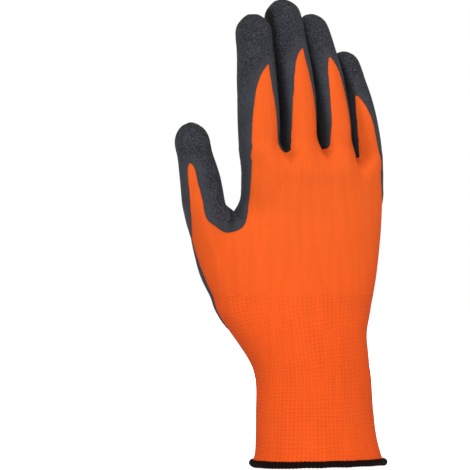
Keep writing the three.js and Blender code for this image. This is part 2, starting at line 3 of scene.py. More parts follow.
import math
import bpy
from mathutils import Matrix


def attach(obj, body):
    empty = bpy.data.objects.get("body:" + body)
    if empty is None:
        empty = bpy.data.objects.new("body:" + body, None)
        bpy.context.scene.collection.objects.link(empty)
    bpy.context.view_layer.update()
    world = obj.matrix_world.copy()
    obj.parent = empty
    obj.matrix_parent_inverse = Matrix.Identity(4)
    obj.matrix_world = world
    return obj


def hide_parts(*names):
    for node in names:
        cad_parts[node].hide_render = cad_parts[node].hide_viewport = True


bl_info = {
    "name": "Latex coated grip glove",
    "version": (1, 0, 0),
    "blender": (4, 5, 0),
    "location": "View3D > Sidebar > Glove",
    "description": "Builds the knit, the latex coat, the cuff, the hem and the studio of the glove",
    "category": "Object",
}

from types import SimpleNamespace

import bpy
import numpy as np
from mathutils import Vector, noise

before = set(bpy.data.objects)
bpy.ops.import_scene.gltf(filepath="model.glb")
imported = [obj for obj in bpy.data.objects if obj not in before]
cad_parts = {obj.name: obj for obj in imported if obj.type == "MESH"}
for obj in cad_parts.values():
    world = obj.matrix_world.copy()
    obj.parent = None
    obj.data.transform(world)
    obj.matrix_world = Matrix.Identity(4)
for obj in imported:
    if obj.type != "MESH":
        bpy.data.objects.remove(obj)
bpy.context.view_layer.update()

MM = 0.001


def table(columns, *rows):
    """A short table as a list of rows, each with its values under the columns' names."""
    return [dict(zip(columns.split(), row)) for row in rows]


# Fingers: long is the length from the web to the tip as a share of the middle finger's, wide and
# cell are shares of the palm's width, drop, side, lean and curl are in mm, taper is the share of its
# width that a finger loses towards its tip.
FINGERS = table(
    "name long wide cell drop side lean curl taper",
    ("index", 0.915, 0.235, 0.262, 2.0, -1.5, -1.4, 6, 0.04),
    ("middle", 1.0, 0.234, 0.262, 0.5, 0.7, -4.4, 14, 0.0),
    ("ring", 0.934, 0.2206, 0.256, 2.5, 1.5, -6.8, 18, 0.07),
    ("pinky", 0.733, 0.1915, 0.22, 6.5, 1.2, -7.6, 15, 0.04),
)
WEB_DROP = [0, 0, 4.5]

# Where the rings of a finger lie along its straight part, and how wide each is
FINGER_BODY = table(
    "along swell",
    (0.07, 1.05),
    (0.2, 1.075),
    (0.36, 1.07),
    (0.52, 1.045),
    (0.68, 1.005),
    (0.84, 0.95),
)
THUMB_BODY = table(
    "along swell",
    (0.16, 1.07),
    (0.34, 1.06),
    (0.58, 0.99),
    (0.82, 0.87),
)
DOME_TURNS = [0, 0.19, 0.37]

# Sections of the palm: up is a share of its length, the sides go from the heel's to the palm's, and
# sag is how far the row drops under the little finger, in mm
PALM_ROWS = table(
    "up radial ulnar depth forward square valley sag",
    (0.0, 0.0, 0.0, 0.0, 1.0, 2.3, 0.0, 0.0),
    (0.14, -0.45, 0.38, 0.12, 1.2, 2.3, 0.0, 0.0),
    (0.27, -0.62, 0.67, 0.3, 1.2, 2.3, 0.0, 0.0),
    (0.39, -0.08, 0.84, 0.5, 0.85, 2.35, 0.0, 0.0),
    (0.5, 0.6, 0.92, 0.7, 0.66, 2.4, 0.0, 0.0),
    (0.56, 0.98, 0.97, 0.76, 0.58, 2.4, 0.0, 0.0),
    (0.65, 1.2, 1.02, 0.88, 0.3, 2.45, 0.0, 0.5),
    (0.77, 1.12, 1.0, 1.0, 0.1, 2.5, 0.0, 2.0),
    (0.86, 1.06, 1.02, 1.0, 0.0, 2.5, 0.03, 4.0),
)
# A row sags over this much of the palm's half width, from the middle outwards
SAG_START, SAG_SPAN = 0.35, 0.4
THUMB_FOOT_ROW = 1
THUMB_WEB_ROW = 4
BACK_SOFT_ROWS = [3, 4, 5, 6]

# Sections of the cuff from its opening to the wrist: up goes from the opening's size to the wrist's,
# the height is so many rolls of the hem and so many wrist heights, and flare is a share of the opening's
OPENING_ROWS = table(
    "up rolls wrists flare",
    (0.0, 0.4, 0.0, 1.0),
    (0.0, 1.05, 0.0, 0.5),
    (0.03, 2.0, 0.0, 0.1),
    (0.34, 0.0, 0.32, 0.0),
    (0.62, 0.0, 0.52, 0.0),
    (0.84, 0.0, 0.76, 0.0),
)
# How square the sections are, where two is an ellipse
CUFF_SQUARE, OPENING_SQUARE = 2.15, 2.1

# Sections of the cuff from the wrist to the heel: waist draws the outer side in
CUFF_ROWS = table(
    "up radial waist depth",
    (0.0, 0.0, 0.0, 0.0),
    (0.2, 0.1, 0.026, 0.0),
    (0.38, 0.31, 0.043, 0.02),
    (0.56, 0.56, 0.055, 0.1),
    (0.74, 0.79, 0.03, 0.4),
    (0.88, 0.93, 0.012, 0.75),
)

# The rounded end of the coat between two fingers, in mm: up is its height above the webs, lift is how
# far the bare back rises beside it, dent is how deep the knit lies below it, and shade and shade_side
# are how wide the painted shade of the valley is and how far it lies to the outer side
WEB_NOTCHES = table(
    "side half corner up lift dent shade shade_side",
    (-0.5, 3.1, 2.8, -2.2, 3.2, 0.8, 2.6, 0.5),
    (0.8, 3.0, 2.5, -0.3, 3.2, 0.8, 2.6, 0.5),
    (0.0, 0.2, 0.2, -4.3, 0.0, 1.2, 3.6, 2.0),
)

# The bare tongue up the back of each finger: along is a share of the finger's length, left and right
# are its two edges as shares of the finger's half width
EDGES = "along left right"
TONGUES = [
    dict(tip=0.64, side=0.22, rows=table(
        EDGES,
        (0.0, -0.76, 0.81),
        (0.12, -0.75, 0.69),
        (0.25, -0.71, 0.6),
        (0.37, -0.61, 0.5),
        (0.47, -0.48, 0.37),
        (0.57, -0.2, 0.29),
    )),
    dict(tip=0.685, side=0.32, rows=table(
        EDGES,
        (0.0, -0.88, 0.98),
        (0.06, -0.74, 0.97),
        (0.12, -0.71, 0.93),
        (0.25, -0.64, 0.82),
        (0.37, -0.53, 0.67),
        (0.49, -0.39, 0.52),
        (0.61, -0.16, 0.39),
    )),
    dict(tip=0.7, side=0.1, rows=table(
        EDGES,
        (0.0, -0.76, 0.84),
        (0.12, -0.63, 0.83),
        (0.25, -0.5, 0.8),
        (0.37, -0.44, 0.74),
        (0.49, -0.35, 0.66),
        (0.61, -0.21, 0.48),
    )),
    dict(tip=0.61, side=-0.36, rows=table(
        EDGES,
        (0.0, -0.78, 0.62),
        (0.12, -0.75, 0.5),
        (0.25, -0.7, 0.4),
        (0.36, -0.66, 0.36),
        (0.46, -0.61, 0.2),
        (0.54, -0.52, -0.02),
    )),
]

# The bare tongue of the thumb, as shares of its length and width, seen square to its back
THUMB_TONGUE = table(
    EDGES,
    (-0.46, -0.4, None),
    (-0.26, -0.42, None),
    (0.0, -0.385, 0.02),
    (0.18, -0.355, -0.02),
    (0.36, -0.33, -0.06),
    (0.52, -0.27, -0.08),
)
THUMB_TONGUE_TIP = dict(along=0.585, side=-0.17)

# The coat's edge round the web of the thumb: side is a share of the palm's width
THUMB_SCOOP = table(
    "along side",
    (-0.08, -0.195),
    (-0.155, -0.13),
    (-0.16, -0.085),
    (-0.135, -0.035),
    (-0.08, 0.003),
    (0.02, 0.022),
    (0.36, 0.042),
    (0.62, 0.05),
)

# The coat's lower edge round the hand: turn is in degrees from the middle of the back, the outer side
# of the hand at 90, and up is a share of the cuff's length
LOWER_EDGE = table(
    "turn up",
    (-240, 0.775),
    (-200, 0.765),
    (-170, 0.757),
    (-148, 0.765),
    (-134, 0.79),
    (-125, 0.85),
    (-121, 0.95),
    (-120, 1.06),
    (-116, 1.16),
)
OUTER_EDGE = table(
    "turn up",
    (44, 1.86),
    (56, 1.81),
    (63, 1.74),
    (66, 1.66),
    (69, 1.59),
    (76, 1.53),
    (84, 1.46),
    (92, 1.39),
    (98, 1.26),
    (105, 1.155),
    (114, 1.06),
    (126, 0.965),
    (137, 0.87),
    (148, 0.8),
    (162, 0.768),
    (190, 0.757),
    (240, 0.775),
)

COLUMNS = 14
COLUMN_ANGLE = 2 * math.pi / COLUMNS
FIRST_ANGLE = -2.5 * COLUMN_ANGLE
EDGE_SHARE = math.sin(-FIRST_ANGLE)
CELL_COLUMNS = 5
CUFF, HAND = 0, 1

# How far the ribs run on over the end of a finger, in mm, and how far that end is crowned, as a share of
# the finger's width
CAP_RISE = 4
CROWN = 0.02
CURL_POWER = 2.3

# The top ring of the palm, as shares of a finger's width: half its width towards a neighbour and on the
# hand's side, its depth, and that of a web as a share of it. A web's corners lie sink mm deeper.
ROOT = SimpleNamespace(inner=0.52, outer=0.47, depth=0.6, roundness=0.92, web_depth=0.86, sink=3)


def length(name, description, value):
    return bpy.props.FloatProperty(
        name=name, description=description, default=value, min=0.0, unit="LENGTH", subtype="DISTANCE")


def place(name, description, value):
    return bpy.props.FloatProperty(
        name=name, description=description, default=value, unit="LENGTH", subtype="DISTANCE")


def colour(name, description, value):
    return bpy.props.StringProperty(name=name, description=description, default=value)


class GloveSizes(bpy.types.PropertyGroup):
    """Sizes of the glove, in metres."""

    cuff_length: length("Cuff length", "From the opening to the heel of the hand", 0.092)
    wrist_height: length("Wrist height", "Height of the narrowest part of the cuff", 0.045)
    wrist_width: length("Wrist width", "Width of the cuff at the wrist", 0.0654)
    wrist_depth: length("Wrist depth", "Thickness of the cuff at the wrist", 0.045)
    wrist_shift: place("Wrist shift", "Sideways place of the wrist", -0.0026)
    opening_width: length("Opening width", "Width of the cuff at its opening", 0.0695)
    opening_depth: length("Opening depth", "Thickness of the cuff at its opening", 0.053)
    opening_flare: length("Opening flare", "How far the lower edge turns outwards", 0.0026)
    hem_roll: length("Hem roll", "Height of the overlocked roll", 0.0038)
    palm_length: length("Palm length", "From the heel of the hand to the webs", 0.078)
    palm_width: length("Palm width", "Width across the knuckles", 0.0825)
    palm_depth: length("Palm depth", "Thickness at the knuckles", 0.029)
    palm_shift: place("Palm shift", "Sideways place of the knuckles", -0.0036)
    heel_width: length("Heel width", "Width at the heel of the hand", 0.0878)
    heel_depth: length("Heel depth", "Thickness at the heel of the hand", 0.041)
    heel_shift: place("Heel shift", "Sideways place of the heel of the hand", -0.0121)
    thenar_forward: place("Thenar forward", "How far the root of the thumb stands forward", 0.013)
    middle_length: length("Middle finger", "Length of the middle finger from its web", 0.079)
    thumb_length: length("Thumb length", "Length of the thumb from its root", 0.049)
    thumb_width: length("Thumb width", "Width of the thumb", 0.0196)
    thumb_spread: length("Thumb spread", "How far the thumb stands off the palm", 0.0178)
    thumb_forward: place("Thumb forward", "How far the thumb stands towards the palm", 0.010)
    thumb_lean: place("Thumb lean", "Sideways lean of the thumb over its length", -0.0065)
    thumb_curl: place("Thumb curl", "Lean of the thumb towards the palm over its length", 0.008)
    thumb_web: length("Thumb web", "Height of the thumb's root above the heel", 0.041)
    knit_wall: length("Knit wall", "Thickness of the knit", 0.0011)
    coat_wall: length("Coat wall", "Thickness of the latex coat", 0.0009)
    coat_feather: length("Coat feather", "Width over which the coat's edge thins out", 0.0016)
    wale_pitch: length("Wale pitch", "Distance between two ribs of the knit", 0.0015)
    course_pitch: length("Course pitch", "Distance between two courses of the cuff", 0.00115)
    pit_pitch: length("Pit pitch", "Distance between two pits of the elastic cuff", 0.0023)
    course_bend: length("Course bend", "How far the cuff's courses hang down on the thumb's side", 0.011)
    stitch_pitch: length("Stitch pitch", "Distance between two stitches of the hem", 0.0021)
    grain: length("Coat grain", "Size of the grain of the coat", 0.0010)


class GloveColours(bpy.types.PropertyGroup):
    """Colours of the glove, as sRGB hex values."""

    knit: colour("Knit", "Yarn of the hand", "#EE6A2C")
    # Painted shade: a darker copy of the knit's yarn for the grooves between the ribs
    knit_shade: colour("Knit shade", "Yarn between two ribs", "#EA5518")
    cuff: colour("Cuff", "Yarn of the cuff", "#F66628")
    # Painted shade: a darker copy of the cuff's yarn for the grooves between the courses and in the pits
    cuff_shade: colour("Cuff shade", "Yarn between two courses", "#E84A10")
    coat: colour("Coat", "Latex", "#23252A")
    coat_light: colour("Coat light", "Raised grain and thin edge of the latex", "#4B4C53")
    hem: colour("Hem", "Overlock thread", "#0E0503")
    floor: colour("Floor", "Floor and backdrop", "#FFFFFF")


def linear(text):
    """An sRGB hex value as linear red, green, blue and alpha."""
    parts = [int(text[start:start + 2], 16) / 255 for start in (1, 3, 5)]
    return [p / 12.92 if p <= 0.04045 else ((p + 0.055) / 1.055) ** 2.4 for p in parts] + [1.0]


def mix(start, end, share):
    return start + (end - start) * share


def smoothstep(low, high, value):
    share = np.clip((value - low) / (high - low), 0, 1)
    return share * share * (3 - 2 * share)


def millimetres(group):
    """The sizes in mm, with the places of the hand that follow from them."""
    size = SimpleNamespace(**{name: getattr(group, name) / MM for name in group.__annotations__})
    size.heel_radial = size.heel_shift - size.heel_width / 2
    size.heel_ulnar = size.heel_shift + size.heel_width / 2
    size.palm_radial = size.palm_shift - size.palm_width / 2
    size.palm_ulnar = size.palm_shift + size.palm_width / 2
    size.web_height = size.cuff_length + size.palm_length
    size.knit_girth = round(size.palm_width * 2.36 / size.wale_pitch) * size.wale_pitch
    size.pit_step = size.knit_girth / round(size.knit_girth / size.pit_pitch)
    size.thumb_start = np.array([
        size.palm_radial - size.thumb_spread, size.thumb_forward, size.cuff_length + size.thumb_web])
    start = size.palm_radial
    size.fingers = []
    for entry in FINGERS:
        finger = SimpleNamespace(**entry)
        finger.length = size.middle_length * finger.long
        finger.width = size.palm_width * finger.wide
        finger.room = finger.cell * size.palm_width
        finger.centre = start + finger.room / 2 + finger.side
        finger.base = size.web_height - finger.drop
        start += finger.room
        size.fingers.append(finger)
    return size


# The cage of the glove: a coarse mesh of quads that a subdivision surface smooths


def column_shares():
    """The x of each column of the cage across the palm, as a share of its half width."""
    shares = []
    start = -1.0
    for index, finger in enumerate(FINGERS):
        half = finger["cell"]
        centre = start + half
        for column in range(CELL_COLUMNS + 1):
            side = math.sin(FIRST_ANGLE + column * COLUMN_ANGLE)
            outer = (index == 0 and side < 0) or (index == len(FINGERS) - 1 and side > 0)
            if not (column == 0 and index > 0):
                shares.append(centre + half * (side if outer else side / EDGE_SHARE))
        start += 2 * half
    return shares


BACK_SHARES = column_shares()
BACK_COUNT = len(BACK_SHARES)
RING = 2 * BACK_COUNT + 2
MIDDLE_COLUMN = BACK_COUNT // 2


def valley_share(column):
    """How deep the valley between two fingers is at a column: one at a web, none on a knuckle."""
    step = column % CELL_COLUMNS
    inside = 0 < column < BACK_COUNT - 1
    if inside and step == 0:
        return 1.0
    beside = (step == 1 and column > 1) or (step == CELL_COLUMNS - 1 and column < BACK_COUNT - 2)
    return 0.35 if beside else 0.0


def hand_ring(section):
    """One closed ring of the hand or cuff, from the thumb side across the back and round."""
    s = SimpleNamespace(**section)
    middle = (s.radial + s.ulnar) / 2
    half = (s.ulnar - s.radial) / 2

    def point(column, facing):
        share = BACK_SHARES[column]
        swell = (1 - abs(share) ** s.square) ** (1 / s.square)
        thick = s.depth * swell * (1 - s.valley * valley_share(column))
        z = s.z - s.sag * min(max((share - SAG_START) / SAG_SPAN, 0.0), 1.0)
        return (middle + half * share, s.forward * ((1 - share) / 2) ** 2 + facing * thick, z)

    ring = [point(column, -1) for column in range(BACK_COUNT)]
    ring.append((s.ulnar, 0.0, s.z - s.sag))
    ring += [point(column, 1) for column in reversed(range(BACK_COUNT))]
    ring.append((s.radial, s.forward, s.z))
    return ring


def palm_section(size, row):
    return dict(
        z=size.cuff_length + size.palm_length * row["up"],
        radial=mix(size.heel_radial, size.palm_radial, row["radial"]),
        ulnar=mix(size.heel_ulnar, size.palm_ulnar, row["ulnar"]),
        depth=mix(size.heel_depth, size.palm_depth, row["depth"]) / 2,
        forward=size.thenar_forward * row["forward"],
        square=row["square"], valley=row["valley"], sag=row["sag"])


def cuff_section(size, row):
    side = size.wrist_width / 2
    return dict(
        z=mix(size.wrist_height, size.cuff_length, row["up"]),
        radial=mix(size.wrist_shift - side, size.heel_radial, row["radial"]),
        ulnar=mix(size.wrist_shift + side, size.heel_ulnar, row["up"]) - size.wrist_width * row["waist"],
        depth=mix(size.wrist_depth, size.heel_depth, row["depth"]) / 2,
        forward=size.thenar_forward * row["radial"], square=CUFF_SQUARE, valley=0.0, sag=0.0)


def opening_section(size, row):
    up = row["up"]
    flare = size.opening_flare * row["flare"]
    side = mix(size.opening_width, size.wrist_width, up) / 2 + flare
    shift = size.wrist_shift * up
    return dict(
        z=size.hem_roll * row["rolls"] + size.wrist_height * row["wrists"],
        radial=shift - side, ulnar=shift + side,
        depth=mix(size.opening_depth, size.wrist_depth, up) / 2 + flare,
        forward=0.0, square=OPENING_SQUARE, valley=0.0, sag=0.0)


class Cage:
    """Points and outward quads in mm, with the knit's own coordinates at each corner."""

    def __init__(self):
        self.points = []
        self.quads = []
        self.corners = []
        self.zones = []

    def add_ring(self, points):
        first = len(self.points)
        self.points.extend(tuple(point) for point in points)
        return list(range(first, len(self.points)))

    def add_quad(self, quad, corners, zone):
        self.quads.append(quad)
        self.corners.append(corners)
        self.zones.append(zone)

    def add_band(self, lower, upper, below, above, zone=HAND, skip=()):
        """Quads between two rings. Below and above are the knit's coordinates, one more than points."""
        count = len(lower)
        for step in range(count):
            if step not in skip:
                ahead = (step + 1) % count
                self.add_quad(
                    (lower[step], lower[ahead], upper[ahead], upper[step]),
                    (below[step], below[step + 1], above[step + 1], above[step]), zone)

    def smooth(self, corners):
        """Draws some corners of the cage halfway to the middle of their neighbours, twice."""
        beside = {corner: set() for corner in corners}
        for quad in self.quads:
            for step in range(4):
                if quad[step] in beside:
                    beside[quad[step]].update((quad[step - 1], quad[(step + 1) % 4]))
        for turn in range(2):
            middles = {corner: np.mean([self.points[other] for other in others], axis=0)
                       for corner, others in beside.items()}
            for corner, middle in middles.items():
                self.points[corner] = tuple(mix(np.array(self.points[corner]), middle, 0.5))

    def add_cap(self, ring, crown, knit):
        """Closes a ring of fourteen with a grid five quads long and two wide."""
        half = len(ring) // 2
        inner = []
        for step in range(1, half - 2):
            near = np.array(self.points[ring[step]])
            far = np.array(self.points[ring[len(ring) - 2 - step]])
            inner.append((near + far) / 2 + crown)
        middle = [ring[-1], *self.add_ring(inner), ring[half - 1]]
        for step in range(half - 2):
            far = len(ring) - 2 - step
            top = (knit[step][0], knit[step][1] + CAP_RISE)
            self.add_quad((ring[step], ring[step + 1], middle[step + 1], middle[step]),
                          (knit[step], knit[step + 1], top, top), HAND)
            self.add_quad((middle[step], middle[step + 1], ring[far - 1], ring[far]),
                          (top, top, knit[far - 1], knit[far]), HAND)


def knit_rows(ring, z, total, bend=0.0):
    """The knit's coordinates along a ring: wales are even round it and upright in the back's middle."""
    points = np.array(ring + [ring[0]])
    steps = np.linalg.norm(np.diff(points, axis=0), axis=1)
    along = np.concatenate([[0], np.cumsum(steps)])
    along = (along - along[MIDDLE_COLUMN]) * total / along[-1] + points[MIDDLE_COLUMN, 0]
    span = points[:, 0].max() - points[:, 0].min()
    outward = (points[:, 0].max() - points[:, 0]) / span
    return [(value, z + bend * side ** 2) for value, side in zip(along, outward)]


def course_bend(size, z):
    """How far the courses of the cuff hang down on the thumb's side, where the heel widens."""
    share = z / size.cuff_length
    return size.course_bend * smoothstep(0.3, 0.85, share) * smoothstep(1.3, 1.0, share)


def tube_stations(span, width, body):
    dome = width * 0.5
    straight = 1 - dome / span
    stations = [(row["along"] * straight, row["swell"]) for row in body]
    for turn in DOME_TURNS:
        angle = turn * math.pi
        stations.append((1 - (dome / span) * (1 - math.sin(angle)), body[-1]["swell"] * math.cos(angle)))
    return stations


def finger_axis(finger, along):
    return np.array([
        finger.centre + finger.lean * along,
        finger.curl * max(along, 0.0) ** CURL_POWER,
        finger.base + finger.length * along])


def thumb_axis(size, along):
    return size.thumb_start + np.array([
        size.thumb_lean * along, size.thumb_curl * along ** 2, size.thumb_length * along])


def tube_ring(axis, along, half, angles):
    """A round ring about a middle line at one place, square to it."""
    step = 0.01
    upward = axis(along + step) - axis(along - step)
    upward /= np.linalg.norm(upward)
    side = np.array([1.0, 0.0, 0.0])
    side -= upward * side.dot(upward)
    side /= np.linalg.norm(side)
    back = np.cross(side, upward)
    here = axis(along)
    return [here + side * half * math.sin(a) + back * half * math.cos(a) for a in angles]


def web_places(size):
    """The x of each web, halfway between the two fingers beside it."""
    pairs = zip(size.fingers, size.fingers[1:])
    return [(a.centre + a.width / 2 + b.centre - b.width / 2) / 2 for a, b in pairs]


def web_ring(size):
    """The top ring of the palm, where the fingers branch."""
    back, front = [], []
    webs = web_places(size)
    for index, finger in enumerate(size.fingers):
        depth = finger.width * ROOT.depth
        for column in range(CELL_COLUMNS + 1):
            angle = FIRST_ANGLE + column * COLUMN_ANGLE
            side = math.sin(angle)
            outer = (index == 0 and side < 0) or (index == len(FINGERS) - 1 and side > 0)
            in_web = not outer and column in (0, CELL_COLUMNS)
            if column == 0 and index > 0:
                continue
            web = index - 1 if column == 0 else index
            half = finger.width * (ROOT.outer if outer else ROOT.inner)
            x = webs[web] if in_web else finger.centre + half * side
            z = size.web_height - WEB_DROP[web] - ROOT.sink if in_web else finger.base
            y = depth * (ROOT.web_depth if in_web else math.cos(angle * ROOT.roundness))
            back.append((x, -y, z))
            front.insert(0, (x, y, z))
    first, last = size.fingers[0], size.fingers[-1]
    return [*back, (last.centre + last.width * 0.5, 0.0, last.base),
            *front, (first.centre - first.width * ROOT.outer, 0.0, first.base)]


def root_corners(ring, webs, index):
    """The fourteen corners of one finger's root in the top ring of the palm."""
    first = index * CELL_COLUMNS
    last = first + CELL_COLUMNS
    corners = [ring[column] for column in range(first, last + 1)]
    corners.append(ring[BACK_COUNT] if index == len(FINGERS) - 1 else webs[index])
    corners += [ring[RING - 2 - column] for column in range(last, first - 1, -1)]
    corners.append(ring[RING - 1] if index == 0 else webs[index - 1])
    return corners


def add_finger(cage, size, root, index, top_knit):
    finger = size.fingers[index]
    angles = [FIRST_ANGLE + column * COLUMN_ANGLE for column in range(COLUMNS)]
    first = index * CELL_COLUMNS
    start, end = top_knit[first][0], top_knit[first + CELL_COLUMNS][0]
    wale = (end - start) / CELL_COLUMNS
    across = [start + wale * column for column in range(COLUMNS + 1)]
    below = [(top_knit[first + column][0] if column <= CELL_COLUMNS else across[column], finger.base)
             for column in range(COLUMNS + 1)]
    lower = root
    for along, swell in tube_stations(finger.length, finger.width, FINGER_BODY):
        half = finger.width / 2 * swell * (1 - finger.taper * along ** 2)
        ring = tube_ring(lambda t: finger_axis(finger, t), along, half, angles)
        upper = cage.add_ring(ring)
        above = [(value, finger.base + finger.length * along) for value in across]
        cage.add_band(lower, upper, below, above)
        lower, below = upper, above
    crown = finger_axis(finger, 1) - finger_axis(finger, 0.98)
    cage.add_cap(lower, crown / np.linalg.norm(crown) * finger.width * CROWN, below)


THUMB_EDGE = [1, 0, RING - 1, RING - 2, RING - 3]
THUMB_BLENDS = [0.36, 0.7]
THUMB_WEB_OPENING = 1.1
THUMB_SIDES = [5, 6, 12, 13]


def add_thumb(cage, size, rows, maps, total):
    top, bottom = rows[THUMB_WEB_ROW], rows[THUMB_FOOT_ROW]
    between = range(THUMB_FOOT_ROW + 1, THUMB_WEB_ROW)
    hole = [top[c] for c in THUMB_EDGE] + [rows[r][THUMB_EDGE[-1]] for r in reversed(between)]
    hole += [bottom[c] for c in reversed(THUMB_EDGE)] + [rows[r][THUMB_EDGE[0]] for r in between]

    def unwrapped(row, column):
        u, v = maps[row][column]
        return (u - total if column > BACK_COUNT else u, v)

    foot = [unwrapped(THUMB_FOOT_ROW, c) for c in reversed(THUMB_EDGE)]
    circle = size.thumb_width * math.pi / COLUMNS
    middle = foot[2][0]
    outer = COLUMNS // 2 + 2
    across = [middle + circle * (step - outer) for step in range(COLUMNS + 1)]
    below = [(across[step], cage.points[hole[step % COLUMNS]][2]) for step in range(COLUMNS + 1)]
    for step, corner in enumerate(foot):
        below[COLUMNS // 2 + step] = corner

    angles = [math.pi / 2 + (column - 2) * COLUMN_ANGLE for column in range(COLUMNS)]
    stations = tube_stations(size.thumb_length, size.thumb_width, THUMB_BODY)
    axis = lambda t: thumb_axis(size, t)
    first = tube_ring(axis, stations[0][0], size.thumb_width / 2 * stations[0][1], angles)
    rings = []
    for share in THUMB_BLENDS:
        ring = []
        for step, corner in enumerate(hole):
            point = mix(np.array(cage.points[corner]), first[step], share)
            if step < len(THUMB_EDGE):
                point[0] -= THUMB_WEB_OPENING * math.sin(math.pi * share)
            ring.append(point)
        rings.append(ring)
    for along, swell in stations:
        rings.append(tube_ring(axis, along, size.thumb_width / 2 * swell, angles))
    lower = hole
    start = len(cage.points)
    for ring in rings:
        upper = cage.add_ring(ring)
        above = [(across[step], ring[step % COLUMNS][2]) for step in range(COLUMNS + 1)]
        cage.add_band(lower, upper, below, above)
        lower, below = upper, above
    cage.add_cap(lower, np.array([0, 0, size.thumb_width * CROWN]), below)
    soft = [ring[step] for ring in (hole, range(start, start + COLUMNS)) for step in THUMB_SIDES]
    cage.smooth(soft)


def glove_cage(size):
    """The whole glove as one coarse surface: cuff, palm, four fingers and the thumb."""
    cage = Cage()
    total = size.knit_girth
    sections = [opening_section(size, row) for row in OPENING_ROWS]
    sections += [cuff_section(size, row) for row in CUFF_ROWS]
    sections += [palm_section(size, row) for row in PALM_ROWS]
    rings = [hand_ring(section) for section in sections]
    rows = [cage.add_ring(ring) for ring in rings]
    maps = [knit_rows(ring, section["z"], total, course_bend(size, section["z"]))
            for ring, section in zip(rings, sections)]
    palm = len(sections) - len(PALM_ROWS)
    hole = {RING - 3, RING - 2, RING - 1, 0}
    for row in range(len(rows) - 1):
        in_hole = palm + THUMB_FOOT_ROW <= row < palm + THUMB_WEB_ROW
        cage.add_band(rows[row], rows[row + 1], maps[row], maps[row + 1],
                      CUFF if row < palm else HAND, hole if in_hole else ())
    ring = web_ring(size)
    top = cage.add_ring(ring)
    top_knit = [(wale[0], point[2]) for wale, point in zip(knit_rows(ring, 0, total), ring + [ring[0]])]
    cage.add_band(rows[-1], top, maps[-1], top_knit)
    webs = cage.add_ring([
        (x, 0.0, size.web_height - drop) for x, drop in zip(web_places(size), WEB_DROP)])
    for index in range(len(FINGERS)):
        add_finger(cage, size, root_corners(top, webs, index), index, top_knit)
    add_thumb(cage, size, rows[palm:], maps[palm:], total)
    backs = [rows[palm + row][column] for row in BACK_SOFT_ROWS for column in range(3, BACK_COUNT - 2)]
    cage.smooth(backs)
    return cage


# Meshes


def new_object(name, points, faces):
    mesh = bpy.data.meshes.new(name)
    mesh.from_pydata([tuple(p) for p in np.asarray(points) * MM], [], faces)
    mesh.update()
    made = bpy.data.objects.new(name, mesh)
    bpy.context.scene.collection.objects.link(made)
    return made


def pick(made):
    """Selects one object alone, for the operators that follow."""
    bpy.ops.object.select_all(action="DESELECT")
    made.select_set(True)
    bpy.context.view_layer.objects.active = made


def apply_modifier(made, kind, **settings):
    pick(made)
    modifier = made.modifiers.new(kind.lower(), kind)
    for name, value in settings.items():
        setattr(modifier, name, value)
    bpy.ops.object.modifier_apply(modifier=modifier.name)


def read_vectors(items, name):
    values = np.zeros(len(items) * 3, np.float32)
    items.foreach_get(name, values)
    return values.reshape(-1, 3).astype(float)


def read_points(mesh):
    return read_vectors(mesh.vertices, "co") / MM


def write_points(mesh, points):
    mesh.vertices.foreach_set("co", (np.asarray(points) * MM).astype(np.float32).ravel())
    mesh.update()


def cage_object(cage, points, name):
    made = new_object(name, points, cage.quads)
    layer = made.data.uv_layers.new(name="knit")
    flat = np.array(cage.corners, np.float32).reshape(-1)
    layer.data.foreach_set("uv", flat)
    made.data.polygons.foreach_set("material_index", np.array(cage.zones, np.int32))
    return made


def fitted_cage(cage):
    """Moves the cage outwards until the smoothed surface passes through the drawn points."""
    drawn = np.array(cage.points)
    points = drawn.copy()
    for turn in range(3):
        trial = cage_object(cage, points, "cage_trial")
        apply_modifier(trial, "SUBSURF", levels=1, render_levels=1)
        smooth = read_points(trial.data)[:len(points)]
        bpy.data.meshes.remove(trial.data)
        points += (drawn - smooth) * 0.9
    return points


def glove_skin(cage, points, levels, name):
    made = cage_object(cage, points, name)
    apply_modifier(made, "SUBSURF", levels=levels, render_levels=levels)
    return made


def read_quads(mesh):
    corners = np.zeros(len(mesh.loops), np.int32)
    mesh.loops.foreach_get("vertex_index", corners)
    return corners.reshape(-1, 4)


def read_normals(mesh):
    return read_vectors(mesh.vertex_normals, "vector")


def soft_noise(points, grain, seed):
    """Smooth noise from -1 to 1 at each point, with lumps about one grain across."""
    shift = Vector((seed * 17.3, seed * 5.1, seed * 9.7))
    return np.array([noise.noise(Vector(point) / grain + shift) for point in points])


def layered_noise(points, rows, unit=1):
    """The sum of a table of noises, whose grains are given in units."""
    return sum(row["height"] * soft_noise(points, row["grain"] * unit, row["seed"]) for row in rows)


# Slow unevenness of the worn knit, in mm
RELIEF = table(
    "height grain seed",
    (0.22, 17, 1),
    (0.1, 7, 2),
)

# The hollows of the knit below the webs, in mm: half their width and height, how far their middle lies
# below the coat's end, and how far round from the back they fade
DENT = SimpleNamespace(wide=4.5, high=6, below=5, fade=5)

# Where the ribs fade, in mm: from high to low above the cuff, and from far to near about the thumb's root
PLAIN = SimpleNamespace(high=62, low=28, far=30, near=14)
THUMB_ROOT = (0, 15, 15)


def dents(size, points):
    """Small hollows of the knit below the webs on the back, in mm."""
    depth = np.zeros(len(points))
    back = smoothstep(0, -DENT.fade, points[:, 1])
    for x, row in zip(web_places(size), WEB_NOTCHES):
        across = (points[:, 0] - x) / DENT.wide
        up = (points[:, 2] - size.web_height - row["up"] + DENT.below) / DENT.high
        depth += row["dent"] * back * np.exp(-across ** 2 - up ** 2)
    return depth


def plainness(size, points):
    """One where the ribs fade: low on the stretched back, and round the root of the thumb."""
    low = smoothstep(PLAIN.high, PLAIN.low, points[:, 2] - size.cuff_length)
    away = np.linalg.norm(points - (size.thumb_start - THUMB_ROOT), axis=1)
    near = smoothstep(PLAIN.far, PLAIN.near, away)
    return np.maximum(low, near)


# The outline of the latex coat

# How far an outline reaches past the glove, and below a finger's root, in mm
REACH = 120
TONGUE_FOOT = 4
